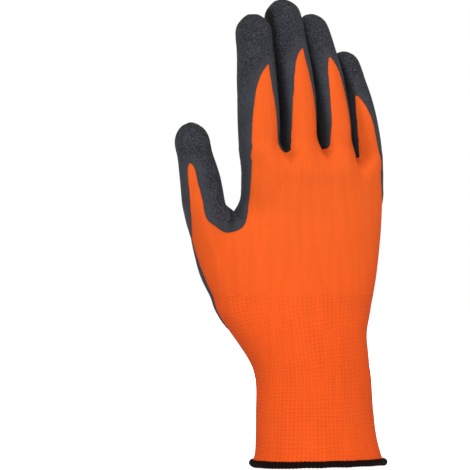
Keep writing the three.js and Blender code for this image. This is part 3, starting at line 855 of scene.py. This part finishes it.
# The thumb's back faces this way
THUMB_FACING = math.radians(-28)
# How far in from the hand's thumb side and outer side the outline of the bare back runs, and how far in
# the thumb's outline ends, as shares of the palm's width
BACK_INSET = SimpleNamespace(radial=0.09, ulnar=0.07, scoop=0.18)
# The hand is unrolled at this many of its heel's widths for each radian, about a line 2 mm to the palm
UNROLL = 0.38
UNROLL_MIDDLE = 2
# How softly the bare places join, in mm, and how far out from the middle of the glove the surface has to
# lie for an outline to reach it, in mm
BLEND = SimpleNamespace(tongue=1.6, thumb=1.0, lower=3.0, notch=1.2)
START = SimpleNamespace(back=0.0, tongue=-0.8, thumb=15)
# The coat ends above this share of the cuff's length everywhere
COAT_BOTTOM = 0.72


def curve_through(points, steps):
    """A smooth curve through the points, as a list of steps + 1 places."""
    p = np.array(points, float)
    p = np.vstack([2 * p[0] - p[1], p, 2 * p[-1] - p[-2]])
    places = []
    for step in range(steps + 1):
        at = step / steps * (len(p) - 3)
        first = min(int(at), len(p) - 4)
        t = at - first
        a, b, c, d = p[first:first + 4]
        places.append(tuple(0.5 * (
            2 * b + (c - a) * t + (2 * a - 5 * b + 4 * c - d) * t ** 2 + (3 * b - a - 3 * c + d) * t ** 3)))
    return places


def outline_depth(flat, outline):
    """Distance of each flat point to a closed outline, positive inside it."""
    nearest = np.full(len(flat), np.inf)
    inside = np.zeros(len(flat), bool)
    for (ax, ay), (bx, by) in zip(outline, outline[1:] + outline[:1]):
        edge = np.array([bx - ax, by - ay])
        away = flat - (ax, ay)
        share = np.clip(away @ edge / max(edge @ edge, 1e-9), 0, 1)
        nearest = np.minimum(nearest, np.linalg.norm(away - share[:, None] * edge, axis=1))
        if ay != by:
            crossing = (ay > flat[:, 1]) != (by > flat[:, 1])
            x_there = ax + (flat[:, 1] - ay) / (by - ay) * (bx - ax)
            inside ^= crossing & (flat[:, 0] < x_there)
    return np.where(inside, nearest, -nearest)


def pushed_depth(points, outline, across, start):
    """Depth inside an outline that is pushed straight through one side of the hand."""
    across = np.array(across)
    outward = np.cross(across, (0, 0, 1))
    flat = np.stack([points @ across, points[:, 2]], axis=1)
    return np.minimum(outline_depth(flat, outline), points @ outward - start)


def blend_max(a, b, width):
    share = np.clip(0.5 + 0.5 * (a - b) / width, 0, 1)
    return mix(b, a, share) + width * share * (1 - share)


PALM_ACROSS = (1.0, 0.0, 0.0)
THUMB_ACROSS = (math.cos(THUMB_FACING), math.sin(THUMB_FACING), 0.0)


def finger_tongue(size, index):
    finger, tongue = size.fingers[index], TONGUES[index]
    half = finger.width / 2 + size.coat_wall

    def edge(along, side):
        return (finger.centre + finger.lean * along + half * side, finger.base + finger.length * along)

    curve = curve_through(
        [edge(row["along"], row["left"]) for row in tongue["rows"]]
        + [edge(tongue["tip"], tongue["side"])]
        + [edge(row["along"], row["right"]) for row in reversed(tongue["rows"])], 72)
    foot = finger.base - TONGUE_FOOT
    return [(curve[0][0], foot), *curve, (curve[-1][0], foot)]


def back_outline(size):
    webs = [(x, size.web_height + row["up"] + row["lift"])
            for x, row in zip(web_places(size), WEB_NOTCHES)]
    radial = size.palm_radial + size.palm_width * BACK_INSET.radial
    ulnar = size.palm_ulnar - size.palm_width * BACK_INSET.ulnar
    return [(radial, -REACH), (ulnar, -REACH), (ulnar, size.fingers[-1].base - 1.2),
            *reversed(webs), (radial, size.fingers[0].base)]


def notch_depth(size, points, index):
    """Depth inside the rounded end of the coat between two fingers."""
    row = WEB_NOTCHES[index]
    sides = np.abs(points[:, 0] - web_places(size)[index] - row["side"]) - row["half"] + row["corner"]
    below = size.web_height + row["up"] + row["corner"] - points[:, 2]
    outside = np.hypot(np.maximum(sides, 0), np.maximum(below, 0))
    return row["corner"] - outside - np.minimum(np.maximum(sides, below), 0)


def thumb_outline(size):
    across = np.array(THUMB_ACROSS)

    def on_thumb(along, share):
        middle = thumb_axis(size, along)
        return (middle @ across + size.thumb_width * share, middle[2])

    side = size.palm_radial * THUMB_ACROSS[0]
    left = [on_thumb(row["along"], row["left"]) for row in THUMB_TONGUE]
    right = [on_thumb(row["along"], row["right"])
             for row in reversed(THUMB_TONGUE) if row["right"] is not None]
    scoop = [(side + size.palm_width * row["side"], thumb_axis(size, row["along"])[2])
             for row in THUMB_SCOOP]
    tip = on_thumb(THUMB_TONGUE_TIP["along"], THUMB_TONGUE_TIP["side"])
    curve = curve_through([*left, tip, *right, *scoop], 90)
    top = size.fingers[0].base + 1
    inner = side + size.palm_width * BACK_INSET.scoop
    return [(-REACH, curve[0][1] - size.thumb_width * 0.15), *curve, (curve[-1][0], top),
            (inner, top), (inner, -REACH), (-REACH, -REACH)]


def unrolled(size, points):
    """Each point's place round the hand and its height, both in mm."""
    middle = (size.heel_shift + size.palm_shift) / 2
    side = (points[:, 0] - middle) / size.heel_width * 2
    turn = np.arctan2(side, (UNROLL_MIDDLE - points[:, 1]) / size.heel_depth * 2)
    return np.stack([turn * size.heel_width * UNROLL, points[:, 2]], axis=1)


def lower_outline(size):
    def on_hand(row):
        return (math.radians(row["turn"]) * size.heel_width * UNROLL, size.cuff_length * row["up"])

    left = curve_through([on_hand(row) for row in LOWER_EDGE], 60)
    right = curve_through([on_hand(row) for row in OUTER_EDGE], 80)
    return [(left[0][0], -REACH), *left, *right, (right[-1][0], -REACH)]


def coat_cover(size, points):
    """How far each point of the skin lies inside the coat, in mm, below zero on the bare knit."""
    bare = pushed_depth(points, back_outline(size), PALM_ACROSS, START.back)
    for index in range(len(FINGERS)):
        tongue = pushed_depth(points, finger_tongue(size, index), PALM_ACROSS, START.tongue)
        bare = blend_max(bare, tongue, BLEND.tongue)
    thumb = pushed_depth(points, thumb_outline(size), THUMB_ACROSS, START.thumb)
    bare = blend_max(bare, thumb, BLEND.thumb)
    bare = blend_max(bare, outline_depth(unrolled(size, points), lower_outline(size)), BLEND.lower)
    cover = -np.maximum(bare, size.cuff_length * COAT_BOTTOM - points[:, 2])
    for index in range(len(WEB_NOTCHES)):
        cover = blend_max(cover, notch_depth(size, points, index), BLEND.notch)
    return cover


# The painted shade of a valley between two fingers: at the share of their length where it gets its least
# width and lies side mm out, how fast it ends below the web, and where it is full and gone, as shares of
# its width
VALLEY_SHADE = SimpleNamespace(along=0.6, least=1.2, side=1.0, below=0.35, full=0.6, gone=2.4)

# Painted shade for the crease in the web of the thumb: side mm from the thumb's root, its half width and
# height in mm, how dark it is, and where it has gone, as a share of those
CREASE_SHADE = SimpleNamespace(side=10.2, wide=1.6, high=7, dark=0.8, gone=1.5)


def painted_valley_shade(size, points):
    """Painted shade: one in the middle of the valley between two fingers, none from a few mm beside it."""
    up = points[:, 2] - size.web_height
    along = np.maximum(up, 0) / size.middle_length
    share = np.clip(along / VALLEY_SHADE.along, 0, 1)
    near = np.full(len(points), np.inf)
    for index, notch in enumerate(WEB_NOTCHES):
        lean = sum(finger.lean / finger.long for finger in size.fingers[index:index + 2]) / 2
        middle = web_places(size)[index] + mix(notch["shade_side"], VALLEY_SHADE.side, share) + lean * along
        below = np.maximum(notch["up"] - 1 - up, 0) * VALLEY_SHADE.below
        wide = mix(notch["shade"], VALLEY_SHADE.least, share)
        near = np.minimum(near, np.abs(points[:, 0] - middle) / wide + below)
    crease = (points - size.thumb_start)[:, [0, 2]] - (CREASE_SHADE.side, 0)
    crease = np.hypot(crease[:, 0] / CREASE_SHADE.wide, crease[:, 1] / CREASE_SHADE.high)
    # Painted shade: the valleys' darkness, or the darker thumb crease where that is more
    return np.maximum(
        1 - smoothstep(VALLEY_SHADE.full, VALLEY_SHADE.gone, near),
        CREASE_SHADE.dark - CREASE_SHADE.dark * smoothstep(0.0, CREASE_SHADE.gone, crease))


# How uneven the coat's edge is, in mm: everywhere, and how much more at the heel of the palm, which is
# towards the palm from some mm before the middle to others behind it, and below a height
RAGGED = table(
    "height more grain seed",
    (0.16, 0.3, 2.2, 3),
    (0.15, 1.3, 7.5, 4),
)
HEEL = SimpleNamespace(back=-5, palm=8, low=80, high=110)


def ragged(points, cover):
    """Makes the coat's edge uneven, as dipping leaves it, most at the heel of the palm."""
    near = np.abs(cover) < 6
    uneven = np.zeros(len(points))
    some = points[near]
    heel = smoothstep(HEEL.back, HEEL.palm, some[:, 1]) * (1 - smoothstep(HEEL.low, HEEL.high, some[:, 2]))
    uneven[near] = sum(
        (row["height"] + row["more"] * heel) * soft_noise(some, row["grain"], row["seed"])
        for row in RAGGED)
    return cover + uneven


def clipped(quads, cover):
    """Cuts the faces along the line where cover is zero and keeps the covered side."""
    inside = cover > 0
    count = inside[quads].sum(axis=1)
    faces = [tuple(quad) for quad in quads[count == 4]]
    cuts = {}
    for quad in quads[(count > 0) & (count < 4)]:
        face = []
        for step in range(4):
            here, ahead = int(quad[step]), int(quad[(step + 1) % 4])
            if inside[here]:
                face.append(here)
            if inside[here] != inside[ahead]:
                key = (min(here, ahead), max(here, ahead))
                face.append(cuts.setdefault(key, len(cover) + len(cuts)))
        if len(face) > 2:
            faces.append(tuple(face))
    pairs = np.array(list(cuts), int).reshape(-1, 2)
    share = cover[pairs[:, 0]] / (cover[pairs[:, 0]] - cover[pairs[:, 1]])
    return faces, pairs, share


def extended(values, pairs, share):
    cut = values[pairs[:, 0]] + (values[pairs[:, 1]] - values[pairs[:, 0]]) * (
        share[:, None] if values.ndim > 1 else share)
    return np.concatenate([values, cut])


def used_only(faces, *arrays):
    """Drops the points that no face uses."""
    used = sorted({corner for face in faces for corner in face})
    number = {corner: new for new, corner in enumerate(used)}
    faces = [tuple(number[corner] for corner in face) for face in faces]
    return [faces] + [values[used] for values in arrays]


def closed_shell(outer, inner, faces):
    """Joins an outer and an inner copy of a sheet along its open edges."""
    count = len(outer)
    shell = list(faces) + [tuple(corner + count for corner in reversed(face)) for face in faces]
    edges = {}
    for face in faces:
        for step, corner in enumerate(face):
            edges[(corner, face[(step + 1) % len(face)])] = True
    for start, end in edges:
        if (end, start) not in edges:
            shell.append((end, start, start + count, end + count))
    return np.concatenate([outer, inner]), shell


def add_attribute(mesh, name, values):
    layer = mesh.attributes.new(name, "FLOAT", "POINT")
    layer.data.foreach_set("value", np.asarray(values, np.float32))


def ride_as(made, node):
    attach(made, "root")
    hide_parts(node)


# Materials


# A wave texture repeats after this many units at a scale of one
WAVE = math.pi / 10


def new_material(name):
    material = bpy.data.materials.new(name)
    material.use_nodes = True
    material.node_tree.nodes.clear()
    return material, material.node_tree


def add_node(tree, kind, inputs=None, output=0, **settings):
    """Adds one node and gives one of its outputs. Inputs are values or sockets, by name or number."""
    made = tree.nodes.new("ShaderNode" + kind)
    for name, value in settings.items():
        setattr(made, name, value)
    for name, value in (inputs or {}).items():
        socket = made.inputs[name]
        if isinstance(value, bpy.types.NodeSocket):
            tree.links.new(value, socket)
        else:
            socket.default_value = value
    return made.outputs[output] if made.outputs else None


def shaded(tree, base, cloud, least, most, painted_shade_value):
    """A colour in patches between two brightnesses, with painted shade darkening it in the valleys between
    the fingers.
    """
    fade = add_node(tree, "MapRange", {0: cloud, 1: 0.3, 2: 0.7, 3: least, 4: most})
    valley = add_node(tree, "Attribute", attribute_name="valley", output="Fac")
    # Painted shade: darker towards the middle of the valleys between the fingers and in the thumb's web
    deep = add_node(tree, "MapRange", {0: valley, 3: 1.0, 4: painted_shade_value})
    value = add_node(tree, "Math", {0: fade, 1: deep}, operation="MULTIPLY")
    return add_node(tree, "HueSaturation", {"Value": value, "Color": base})


def finish_material(material, base, height, relief, roughness, specular, ior):
    """Gives a material its surface: relief is the strength and the depth in metres of its bumps."""
    tree = material.node_tree
    bump = add_node(tree, "Bump", {"Height": height, "Strength": relief[0], "Distance": relief[1]})
    shader = add_node(tree, "BsdfPrincipled", {
        "Base Color": base, "Roughness": roughness, "Specular IOR Level": specular, "IOR": ior,
        "Normal": bump})
    add_node(tree, "OutputMaterial", {0: shader})
    return material


def knit_material(name, colours, wale, course, across, pits, evenness):
    """Knitted polyester: matt filament yarn in ribs and rows, with painted shade between them and random
    fibre tone.

    Wale and course are the distances of ribs and rows in mm, across is how strongly the rows show
    beside the ribs, pits is how deep the small holes of an elastic knit are, and evenness is how far
    the pattern fades where the cloth is stretched flat.
    """
    material, tree = new_material(name)
    knit = add_node(tree, "UVMap", uv_map="knit")
    ribs = add_node(tree, "TexWave", {
        "Vector": knit, "Scale": WAVE / wale, "Distortion": 0.5, "Detail": 1.0, "Detail Scale": 0.3},
        bands_direction="X", output="Fac")
    rows = add_node(tree, "TexWave", {
        "Vector": knit, "Scale": WAVE / course, "Distortion": 7.0, "Detail": 1.0, "Detail Scale": 0.2},
        bands_direction="Y", output="Fac")
    holes = add_node(tree, "TexWave", {
        "Vector": knit, "Scale": WAVE / course / 2, "Distortion": 3.5, "Detail": 1.0, "Detail Scale": 0.4},
        bands_direction="Y", output="Fac")
    ribs_and_holes = add_node(tree, "Math", {0: ribs, 1: holes}, operation="MAXIMUM")
    pit = add_node(tree, "MapRange", {0: ribs_and_holes, 1: 0.1, 2: 0.6, 3: pits, 4: 0.0})
    woven = add_node(tree, "Mix", {0: across, 2: ribs, 3: rows})
    pattern = add_node(tree, "Math", {0: woven, 1: pit}, operation="SUBTRACT")
    where = add_node(tree, "TexCoord", output="Object")
    patch = add_node(tree, "TexNoise", {"Vector": where, "Scale": 45.0, "Detail": 1.0})
    even = add_node(tree, "MapRange", {0: patch, 1: 0.4, 2: 0.62, 3: 0.0, 4: evenness})
    plain = add_node(tree, "Attribute", attribute_name="plain", output="Fac")
    plain = add_node(tree, "MapRange", {0: plain, 3: 0.0, 4: 0.85})
    even = add_node(tree, "Math", {0: even, 1: plain}, operation="MAXIMUM")
    height = add_node(tree, "Mix", {0: even, 2: pattern, 3: 0.5})
    stretched = add_node(tree, "Mapping", {"Vector": where, "Scale": (1.0, 1.0, 0.1)})
    streak = add_node(tree, "TexNoise", {"Vector": stretched, "Scale": 300.0, "Detail": 3.0})
    fibre = add_node(tree, "TexNoise", {"Vector": where, "Scale": 1500.0, "Detail": 2.0})
    # Where the height is low, between ribs, rows and pits, this gives painted shade; the fibre noise adds
    # random tone
    shade_and_fibre_tone = add_node(tree, "Mix", {0: 0.45, 2: height, 3: fibre})
    height_here = add_node(tree, "SeparateXYZ", {0: where}, output="Z")
    high = add_node(tree, "MapRange", {0: height_here, 1: 0.07, 2: 0.14})
    yarn = add_node(tree, "Mix", {
        0: high, 6: linear(colours.cuff), 7: linear(colours.knit)}, data_type="RGBA", output=2)
    # The shade colours are painted shade: darker copies of the cuff's and the hand's yarns
    shade = add_node(tree, "Mix", {
        0: high, 6: linear(colours.cuff_shade), 7: linear(colours.knit_shade)}, data_type="RGBA", output=2)
    base = add_node(tree, "Mix", {0: shade_and_fibre_tone, 6: shade, 7: yarn}, data_type="RGBA", output=2)
    # Painted shade in the valleys between the fingers, down to 0.72 of the colour; the patches from 0.96 to
    # 1.04 are random tone
    base = shaded(tree, base, streak, 0.96, 1.04, 0.72)
    return finish_material(material, base, height, (0.45, 0.0003), 0.85, 0.05, 1.5)


def coat_material(name, latex, light, grain):
    """Foamed latex with a sandy finish: matt and crinkled, paler on the grain and at its thin edge.

    It is painted darkest in the valleys between the fingers, as painted shade. The grain is drawn about
    twice as coarse as the real one, which would be too fine to show.
    """
    material, tree = new_material(name)
    where = add_node(tree, "TexCoord", output="Object")
    thick = add_node(tree, "Attribute", attribute_name="thickness", output="Fac")
    coarse = add_node(tree, "TexNoise", {
        "Vector": where, "Scale": 1 / (grain * MM), "Detail": 3.0, "Roughness": 0.65})
    pebble = add_node(tree, "TexVoronoi", {
        "Vector": where, "Scale": 0.9 / (grain * MM)}, feature="SMOOTH_F1")
    cloud = add_node(tree, "TexNoise", {"Vector": where, "Scale": 90.0, "Detail": 3.0})
    lumps = add_node(tree, "Math", {0: coarse, 1: pebble}, operation="SUBTRACT")
    sandy = add_node(tree, "Attribute", attribute_name="sandy", output="Fac")
    sand = add_node(tree, "MapRange", {0: sandy, 3: 0.2, 4: 1.0})
    height = add_node(tree, "Math", {0: lumps, 1: sand}, operation="MULTIPLY")
    speck = add_node(tree, "MapRange", {0: coarse, 1: 0.4, 2: 0.66, 3: 0.0, 4: 0.85})
    speck = add_node(tree, "Mix", {0: sand, 2: 0.45, 3: speck})
    edge = add_node(tree, "MapRange", {0: thick, 1: 0.15, 2: 0.8, 3: 0.4, 4: 0.0})
    pale = add_node(tree, "Math", {0: speck, 1: edge}, operation="MAXIMUM")
    base = add_node(tree, "Mix", {0: pale, 6: latex, 7: light}, data_type="RGBA", output=2)
    # Painted shade in the valleys between the fingers, down to 0.15 of the colour; the patches from 0.85 to
    # 1.15 are random tone
    base = shaded(tree, base, cloud, 0.85, 1.15, 0.15)
    return finish_material(material, base, height, (0.9, 0.0012), 0.75, 0.14, 1.52)


def thread_material(name, thread):
    """Spun polyester overlock thread: nearly black, matt, with fine lengthwise fibre."""
    material, tree = new_material(name)
    where = add_node(tree, "TexCoord", output="Object")
    fibre = add_node(tree, "TexNoise", {"Vector": where, "Scale": 2200.0, "Detail": 3.0})
    light = [min(1.0, channel * 1.8 + 0.002) for channel in thread[:3]] + [1.0]
    base = add_node(tree, "Mix", {0: fibre, 6: thread, 7: light}, data_type="RGBA", output=2)
    return finish_material(material, base, fibre, (0.5, 0.0003), 0.9, 0.05, 1.5)


def paper_material(name, paper):
    """Matt white studio paper, which lights itself a little so that shadows stay faint."""
    material, tree = new_material(name)
    shader = add_node(tree, "BsdfPrincipled", {
        "Base Color": paper, "Roughness": 0.9, "Specular IOR Level": 0.1,
        "Emission Color": paper, "Emission Strength": 1.0})
    add_node(tree, "OutputMaterial", {0: shader})
    return material


def backdrop_material(name, paper):
    """White backdrop, evenly lit from behind."""
    material, tree = new_material(name)
    shader = add_node(tree, "Emission", {"Color": paper, "Strength": 1.0})
    add_node(tree, "OutputMaterial", {0: shader})
    return material


# Operators

MADE = {}


def glove_sizes():
    return millimetres(bpy.context.scene.glove_sizes)


def glove_surface():
    """The fitted cage, made once for all the pieces that lie on it."""
    if "cage" not in MADE:
        MADE["cage"] = glove_cage(glove_sizes())
        MADE["points"] = fitted_cage(MADE["cage"])
    return MADE["cage"], MADE["points"]


# How deep the knit lies under the coat, and how far inside the coat's edge that starts and is full, in mm
SUNK = SimpleNamespace(depth=0.3, start=0.4, full=1.6)


def knit_piece(name, zone, material):
    """The part of the skin in one zone, with an inner wall, as its own object."""
    size = glove_sizes()
    cage, points = glove_surface()
    made = glove_skin(cage, points, 2, name)
    mesh = made.data
    places = read_points(mesh)
    cover = coat_cover(size, places)
    sunk = SUNK.depth * smoothstep(SUNK.start, SUNK.full, cover)
    raised = layered_noise(places, RELIEF) - dents(size, places) - sunk
    write_points(mesh, places + read_normals(mesh) * raised[:, None])
    add_attribute(mesh, "plain", plainness(size, places) if zone == HAND else np.zeros(len(places)))
    # The painted shade of the valleys and the thumb's crease, kept as the valley attribute
    add_attribute(mesh, "valley", painted_valley_shade(size, places))
    pick(made)
    bpy.ops.object.mode_set(mode="EDIT")
    bpy.ops.mesh.select_all(action="DESELECT")
    bpy.ops.object.mode_set(mode="OBJECT")
    for face in mesh.polygons:
        face.select = face.material_index != zone
        face.material_index = 0
    bpy.ops.object.mode_set(mode="EDIT")
    bpy.ops.mesh.select_mode(type="FACE")
    bpy.ops.mesh.delete(type="FACE")
    bpy.ops.object.mode_set(mode="OBJECT")
    apply_modifier(made, "SOLIDIFY", thickness=size.knit_wall * MM, offset=-1.0)
    made.data.materials.clear()
    made.data.materials.append(material)
    pick(made)
    bpy.ops.object.shade_smooth_by_angle(angle=math.radians(60))
    return made


class GLOVE_OT_knit_hand(bpy.types.Operator):
    """The knitted hand: palm, back, fingers and thumb, with ribs that run up into the fingers."""

    bl_idname = "glove.knit_hand"
    bl_label = "Knitted hand"

    def execute(self, context):
        size, colours = glove_sizes(), context.scene.glove_colours
        material = knit_material(
            "knitted_polyester_hand", colours, size.wale_pitch, size.course_pitch, 0.15, 0.0, 0.75)
        ride_as(knit_piece("glove_knit_hand", HAND, material), "knit_hand")
        return {"FINISHED"}


class GLOVE_OT_knit_cuff(bpy.types.Operator):
    """The elastic cuff: fine courses across, with rows of small pits."""

    bl_idname = "glove.knit_cuff"
    bl_label = "Elastic cuff"

    def execute(self, context):
        size, colours = glove_sizes(), context.scene.glove_colours
        material = knit_material(
            "knitted_elastic_cuff", colours, size.pit_step, size.course_pitch, 0.8, 0.6, 0.45)
        ride_as(knit_piece("glove_knit_cuff", CUFF, material), "knit_cuff")
        return {"FINISHED"}


# The coat. Its outer side lies lift mm above the knit where it is thinnest, its inner side bed mm below,
# and body is its wall without the grain, as a share. From its edge, in mm, it starts to thicken at
# start, is smooth up to smooth and sandy from sandy on, and it looks pale over so many feathers. Faces
# is the share of them that is kept by thinning out the inner side, which nobody sees.
COAT = SimpleNamespace(lift=0.12, bed=0.15, body=0.8, start=-0.3, smooth=0.5, sandy=7, pale=1.8, faces=0.68)
GRAIN = table(
    "height grain seed",
    (0.05, 1.4, 5),
    (0.03, 0.8, 6),
)


class GLOVE_OT_latex_coat(bpy.types.Operator):
    """The dipped coat: a thin closed skin over the palm, the finger tips and the sides of the fingers."""

    bl_idname = "glove.latex_coat"
    bl_label = "Latex coat"

    def execute(self, context):
        size, colours = glove_sizes(), context.scene.glove_colours
        cage, points = glove_surface()
        skin = glove_skin(cage, points, 3, "coat_skin")
        places, normals, quads = read_points(skin.data), read_normals(skin.data), read_quads(skin.data)
        bpy.data.meshes.remove(skin.data)
        cover = ragged(places, coat_cover(size, places))
        faces, pairs, share = clipped(quads, cover)
        cover = extended(cover, pairs, share)
        raised = layered_noise(places, RELIEF) - dents(size, places)
        places = extended(places + normals * raised[:, None], pairs, share)
        normals = extended(normals, pairs, share)
        faces, places, normals, cover = used_only(faces, places, normals, cover)
        thick = np.sqrt(smoothstep(COAT.start, size.coat_feather, cover))
        wall = size.coat_wall * COAT.body + layered_noise(places, GRAIN, size.grain)
        outer = places + normals * (thick * wall + COAT.lift)[:, None]
        inner = places - normals * COAT.bed
        shell, faces = closed_shell(outer, inner, faces)
        made = new_object("glove_latex_coat", shell, faces)
        depth = smoothstep(0, COAT.pale * size.coat_feather, cover)
        # The painted shade of the valleys and the thumb's crease, kept as the valley attribute
        valley = painted_valley_shade(size, places)
        sandy = smoothstep(COAT.smooth, COAT.sandy, cover)
        add_attribute(made.data, "thickness", np.concatenate([depth, depth]))
        add_attribute(made.data, "sandy", np.concatenate([sandy, sandy]))
        add_attribute(made.data, "valley", np.concatenate([valley, valley]))
        made.data.materials.append(coat_material(
            "sandy_latex_foam", linear(colours.coat), linear(colours.coat_light), size.grain))
        lining = made.vertex_groups.new(name="lining")
        lining.add(list(range(len(places), 2 * len(places))), 1.0, "REPLACE")
        apply_modifier(
            made, "DECIMATE", ratio=COAT.faces, vertex_group="lining", vertex_group_factor=10.0)
        made.vertex_groups.clear()
        pick(made)
        bpy.ops.object.shade_smooth_by_angle(angle=math.radians(55))
        ride_as(made, "latex_coat")
        return {"FINISHED"}


# The hem: its thumb side is drawn in by twice tuck, in mm. A stitch has so many steps and the roll so
# many sides. A stitch leans by twist, in radians, and stands out by a share of the roll. Lump and sway
# are how uneven the roll is, and lift how far its front and back are off the floor, in mm.
HEM = SimpleNamespace(tuck=0.3, steps=6, sides=16, twist=0.9, stitch=0.05, lump=0.1, lift=0.7, sway=0.35)


class GLOVE_OT_overlock_hem(bpy.types.Operator):
    """The overlocked roll: thread wrapped round the lower edge, stitch beside stitch."""

    bl_idname = "glove.overlock_hem"
    bl_label = "Overlocked hem"

    def execute(self, context):
        size, colours = glove_sizes(), context.scene.glove_colours
        half_x = size.opening_width / 2 + size.opening_flare - size.knit_wall / 2 - HEM.tuck
        half_y = size.opening_depth / 2 + size.opening_flare - size.knit_wall / 2
        girth = math.pi * (3 * (half_x + half_y) - math.sqrt((3 * half_x + half_y) * (half_x + 3 * half_y)))
        stitches = round(girth / size.stitch_pitch)
        steps, turns = stitches * HEM.steps, HEM.sides
        radius = size.hem_roll / 2
        points = []
        for step in range(steps):
            angle = 2 * math.pi * step / steps
            cos, sin = math.cos(angle), math.sin(angle)
            x = HEM.tuck + half_x * math.copysign(abs(cos) ** (2 / OPENING_SQUARE), cos)
            y = half_y * math.copysign(abs(sin) ** (2 / OPENING_SQUARE), sin)
            out = Vector((cos / half_x, sin / half_y, 0)).normalized()
            lump = HEM.lump * noise.noise(Vector((x / 5, y / 5, 3.1)))
            lift = HEM.lift * sin ** 2 + HEM.sway * noise.noise(Vector((x / 11, y / 11, 7.7)))
            for turn in range(turns):
                around = 2 * math.pi * turn / turns
                wave = math.cos(stitches * angle + HEM.twist * math.cos(around))
                swell = radius * (0.95 + 0.1 * cos ** 4 + HEM.stitch * wave) + lump
                points.append((
                    x + out.x * swell * math.cos(around), y + out.y * swell * math.cos(around),
                    radius * 1.04 + max(lift, 0.0) + swell * math.sin(around)))
        faces = []
        for step in range(steps):
            ahead = (step + 1) % steps
            for turn in range(turns):
                after = (turn + 1) % turns
                faces.append((step * turns + turn, ahead * turns + turn,
                              ahead * turns + after, step * turns + after))
        made = new_object("glove_overlock_hem", points, faces)
        made.data.materials.append(thread_material("spun_overlock_thread", linear(colours.hem)))
        pick(made)
        bpy.ops.object.shade_smooth()
        ride_as(made, "overlock_hem")
        return {"FINISHED"}


class GLOVE_OT_studio(bpy.types.Operator):
    """The pale floor, the soft lights and the camera."""

    bl_idname = "glove.studio"
    bl_label = "Studio"

    def execute(self, context):
        scene = context.scene
        paper = paper_material("studio_paper", linear(scene.glove_colours.floor))
        bpy.ops.object.select_all(action="DESELECT")
        bpy.ops.mesh.primitive_plane_add(size=7, location=(0, 0, -0.0005))
        floor = context.active_object
        floor.name = "studio_floor"
        floor.data.materials.append(paper)
        floor.visible_diffuse = False
        bpy.ops.object.select_all(action="DESELECT")
        bpy.ops.mesh.primitive_uv_sphere_add(segments=48, ring_count=24, radius=4)
        backdrop = context.active_object
        backdrop.name = "studio_backdrop"
        backdrop.data.materials.append(
            backdrop_material("studio_backdrop", linear(scene.glove_colours.floor)))
        for ray in ("diffuse", "glossy", "transmission", "volume_scatter", "shadow"):
            setattr(backdrop, "visible_" + ray, False)
        add_lights(scene)
        add_camera(scene)
        return {"FINISHED"}


LIGHTS = table(
    "name azimuth height distance size power",
    ("front", -33, 0.35, 1.6, 0.8, 15.8),
    ("top", -40, 1.3, 0.6, 0.9, 4.0),
    ("side", 48, 0.3, 1.4, 0.8, 2.4),
    ("palm", 152, 0.3, 1.6, 0.8, 13.0),
)
AIR = 0.47


def add_lights(scene):
    centre = Vector((0, 0, 0.13))
    for row in LIGHTS:
        lamp = bpy.data.lights.new("light_" + row["name"], "AREA")
        lamp.size = row["size"]
        lamp.energy = row["power"]
        made = bpy.data.objects.new(lamp.name, lamp)
        angle = math.radians(row["azimuth"])
        made.location = centre + Vector((
            math.sin(angle) * row["distance"], -math.cos(angle) * row["distance"], row["height"]))
        made.rotation_euler = (centre - made.location).to_track_quat("-Z", "Y").to_euler()
        scene.collection.objects.link(made)
    world = bpy.data.worlds.new("studio_air")
    world.use_nodes = True
    background = world.node_tree.nodes["Background"]
    background.inputs[0].default_value = (1, 1, 1, 1)
    background.inputs[1].default_value = AIR
    scene.world = world
    scene.view_settings.view_transform = "Standard"


CAMERA = dict(azimuth=-28, distance=2.0, height=0.1237, sideways=-0.0444, view_width=0.2515)


def add_camera(scene):
    angle = math.radians(CAMERA["azimuth"])
    right = Vector((math.cos(angle), math.sin(angle), 0))
    toward = Vector((-math.sin(angle), math.cos(angle), 0))
    lens = bpy.data.cameras.new("camera")
    lens.sensor_width = 36
    lens.lens = 36 * CAMERA["distance"] / CAMERA["view_width"]
    made = bpy.data.objects.new("camera", lens)
    made.location = right * CAMERA["sideways"] - toward * CAMERA["distance"]
    made.location.z += CAMERA["height"]
    made.rotation_euler = toward.to_track_quat("-Z", "Y").to_euler()
    scene.collection.objects.link(made)
    scene.camera = made


class GLOVE_PT_panel(bpy.types.Panel):
    """Lists the pieces of the glove, in the order they are made."""

    bl_idname = "GLOVE_PT_panel"
    bl_label = "Grip glove"
    bl_space_type = "VIEW_3D"
    bl_region_type = "UI"
    bl_category = "Glove"

    def draw(self, context):
        for operator in OPERATORS:
            self.layout.operator(operator.bl_idname)
        for group in (context.scene.glove_sizes, context.scene.glove_colours):
            box = self.layout.box()
            for name in group.__annotations__:
                box.prop(group, name)


OPERATORS = [
    GLOVE_OT_knit_hand,
    GLOVE_OT_knit_cuff,
    GLOVE_OT_latex_coat,
    GLOVE_OT_overlock_hem,
    GLOVE_OT_studio,
]
CLASSES = [GloveSizes, GloveColours, *OPERATORS, GLOVE_PT_panel]


def register():
    for item in CLASSES:
        bpy.utils.register_class(item)
    bpy.types.Scene.glove_sizes = bpy.props.PointerProperty(type=GloveSizes)
    bpy.types.Scene.glove_colours = bpy.props.PointerProperty(type=GloveColours)


def unregister():
    del bpy.types.Scene.glove_colours
    del bpy.types.Scene.glove_sizes
    for item in reversed(CLASSES):
        bpy.utils.unregister_class(item)


def main():
    register()
    bpy.ops.glove.knit_hand()
    bpy.ops.glove.knit_cuff()
    bpy.ops.glove.latex_coat()
    bpy.ops.glove.overlock_hem()
    bpy.ops.glove.studio()


if __name__ == "__main__":
    main()
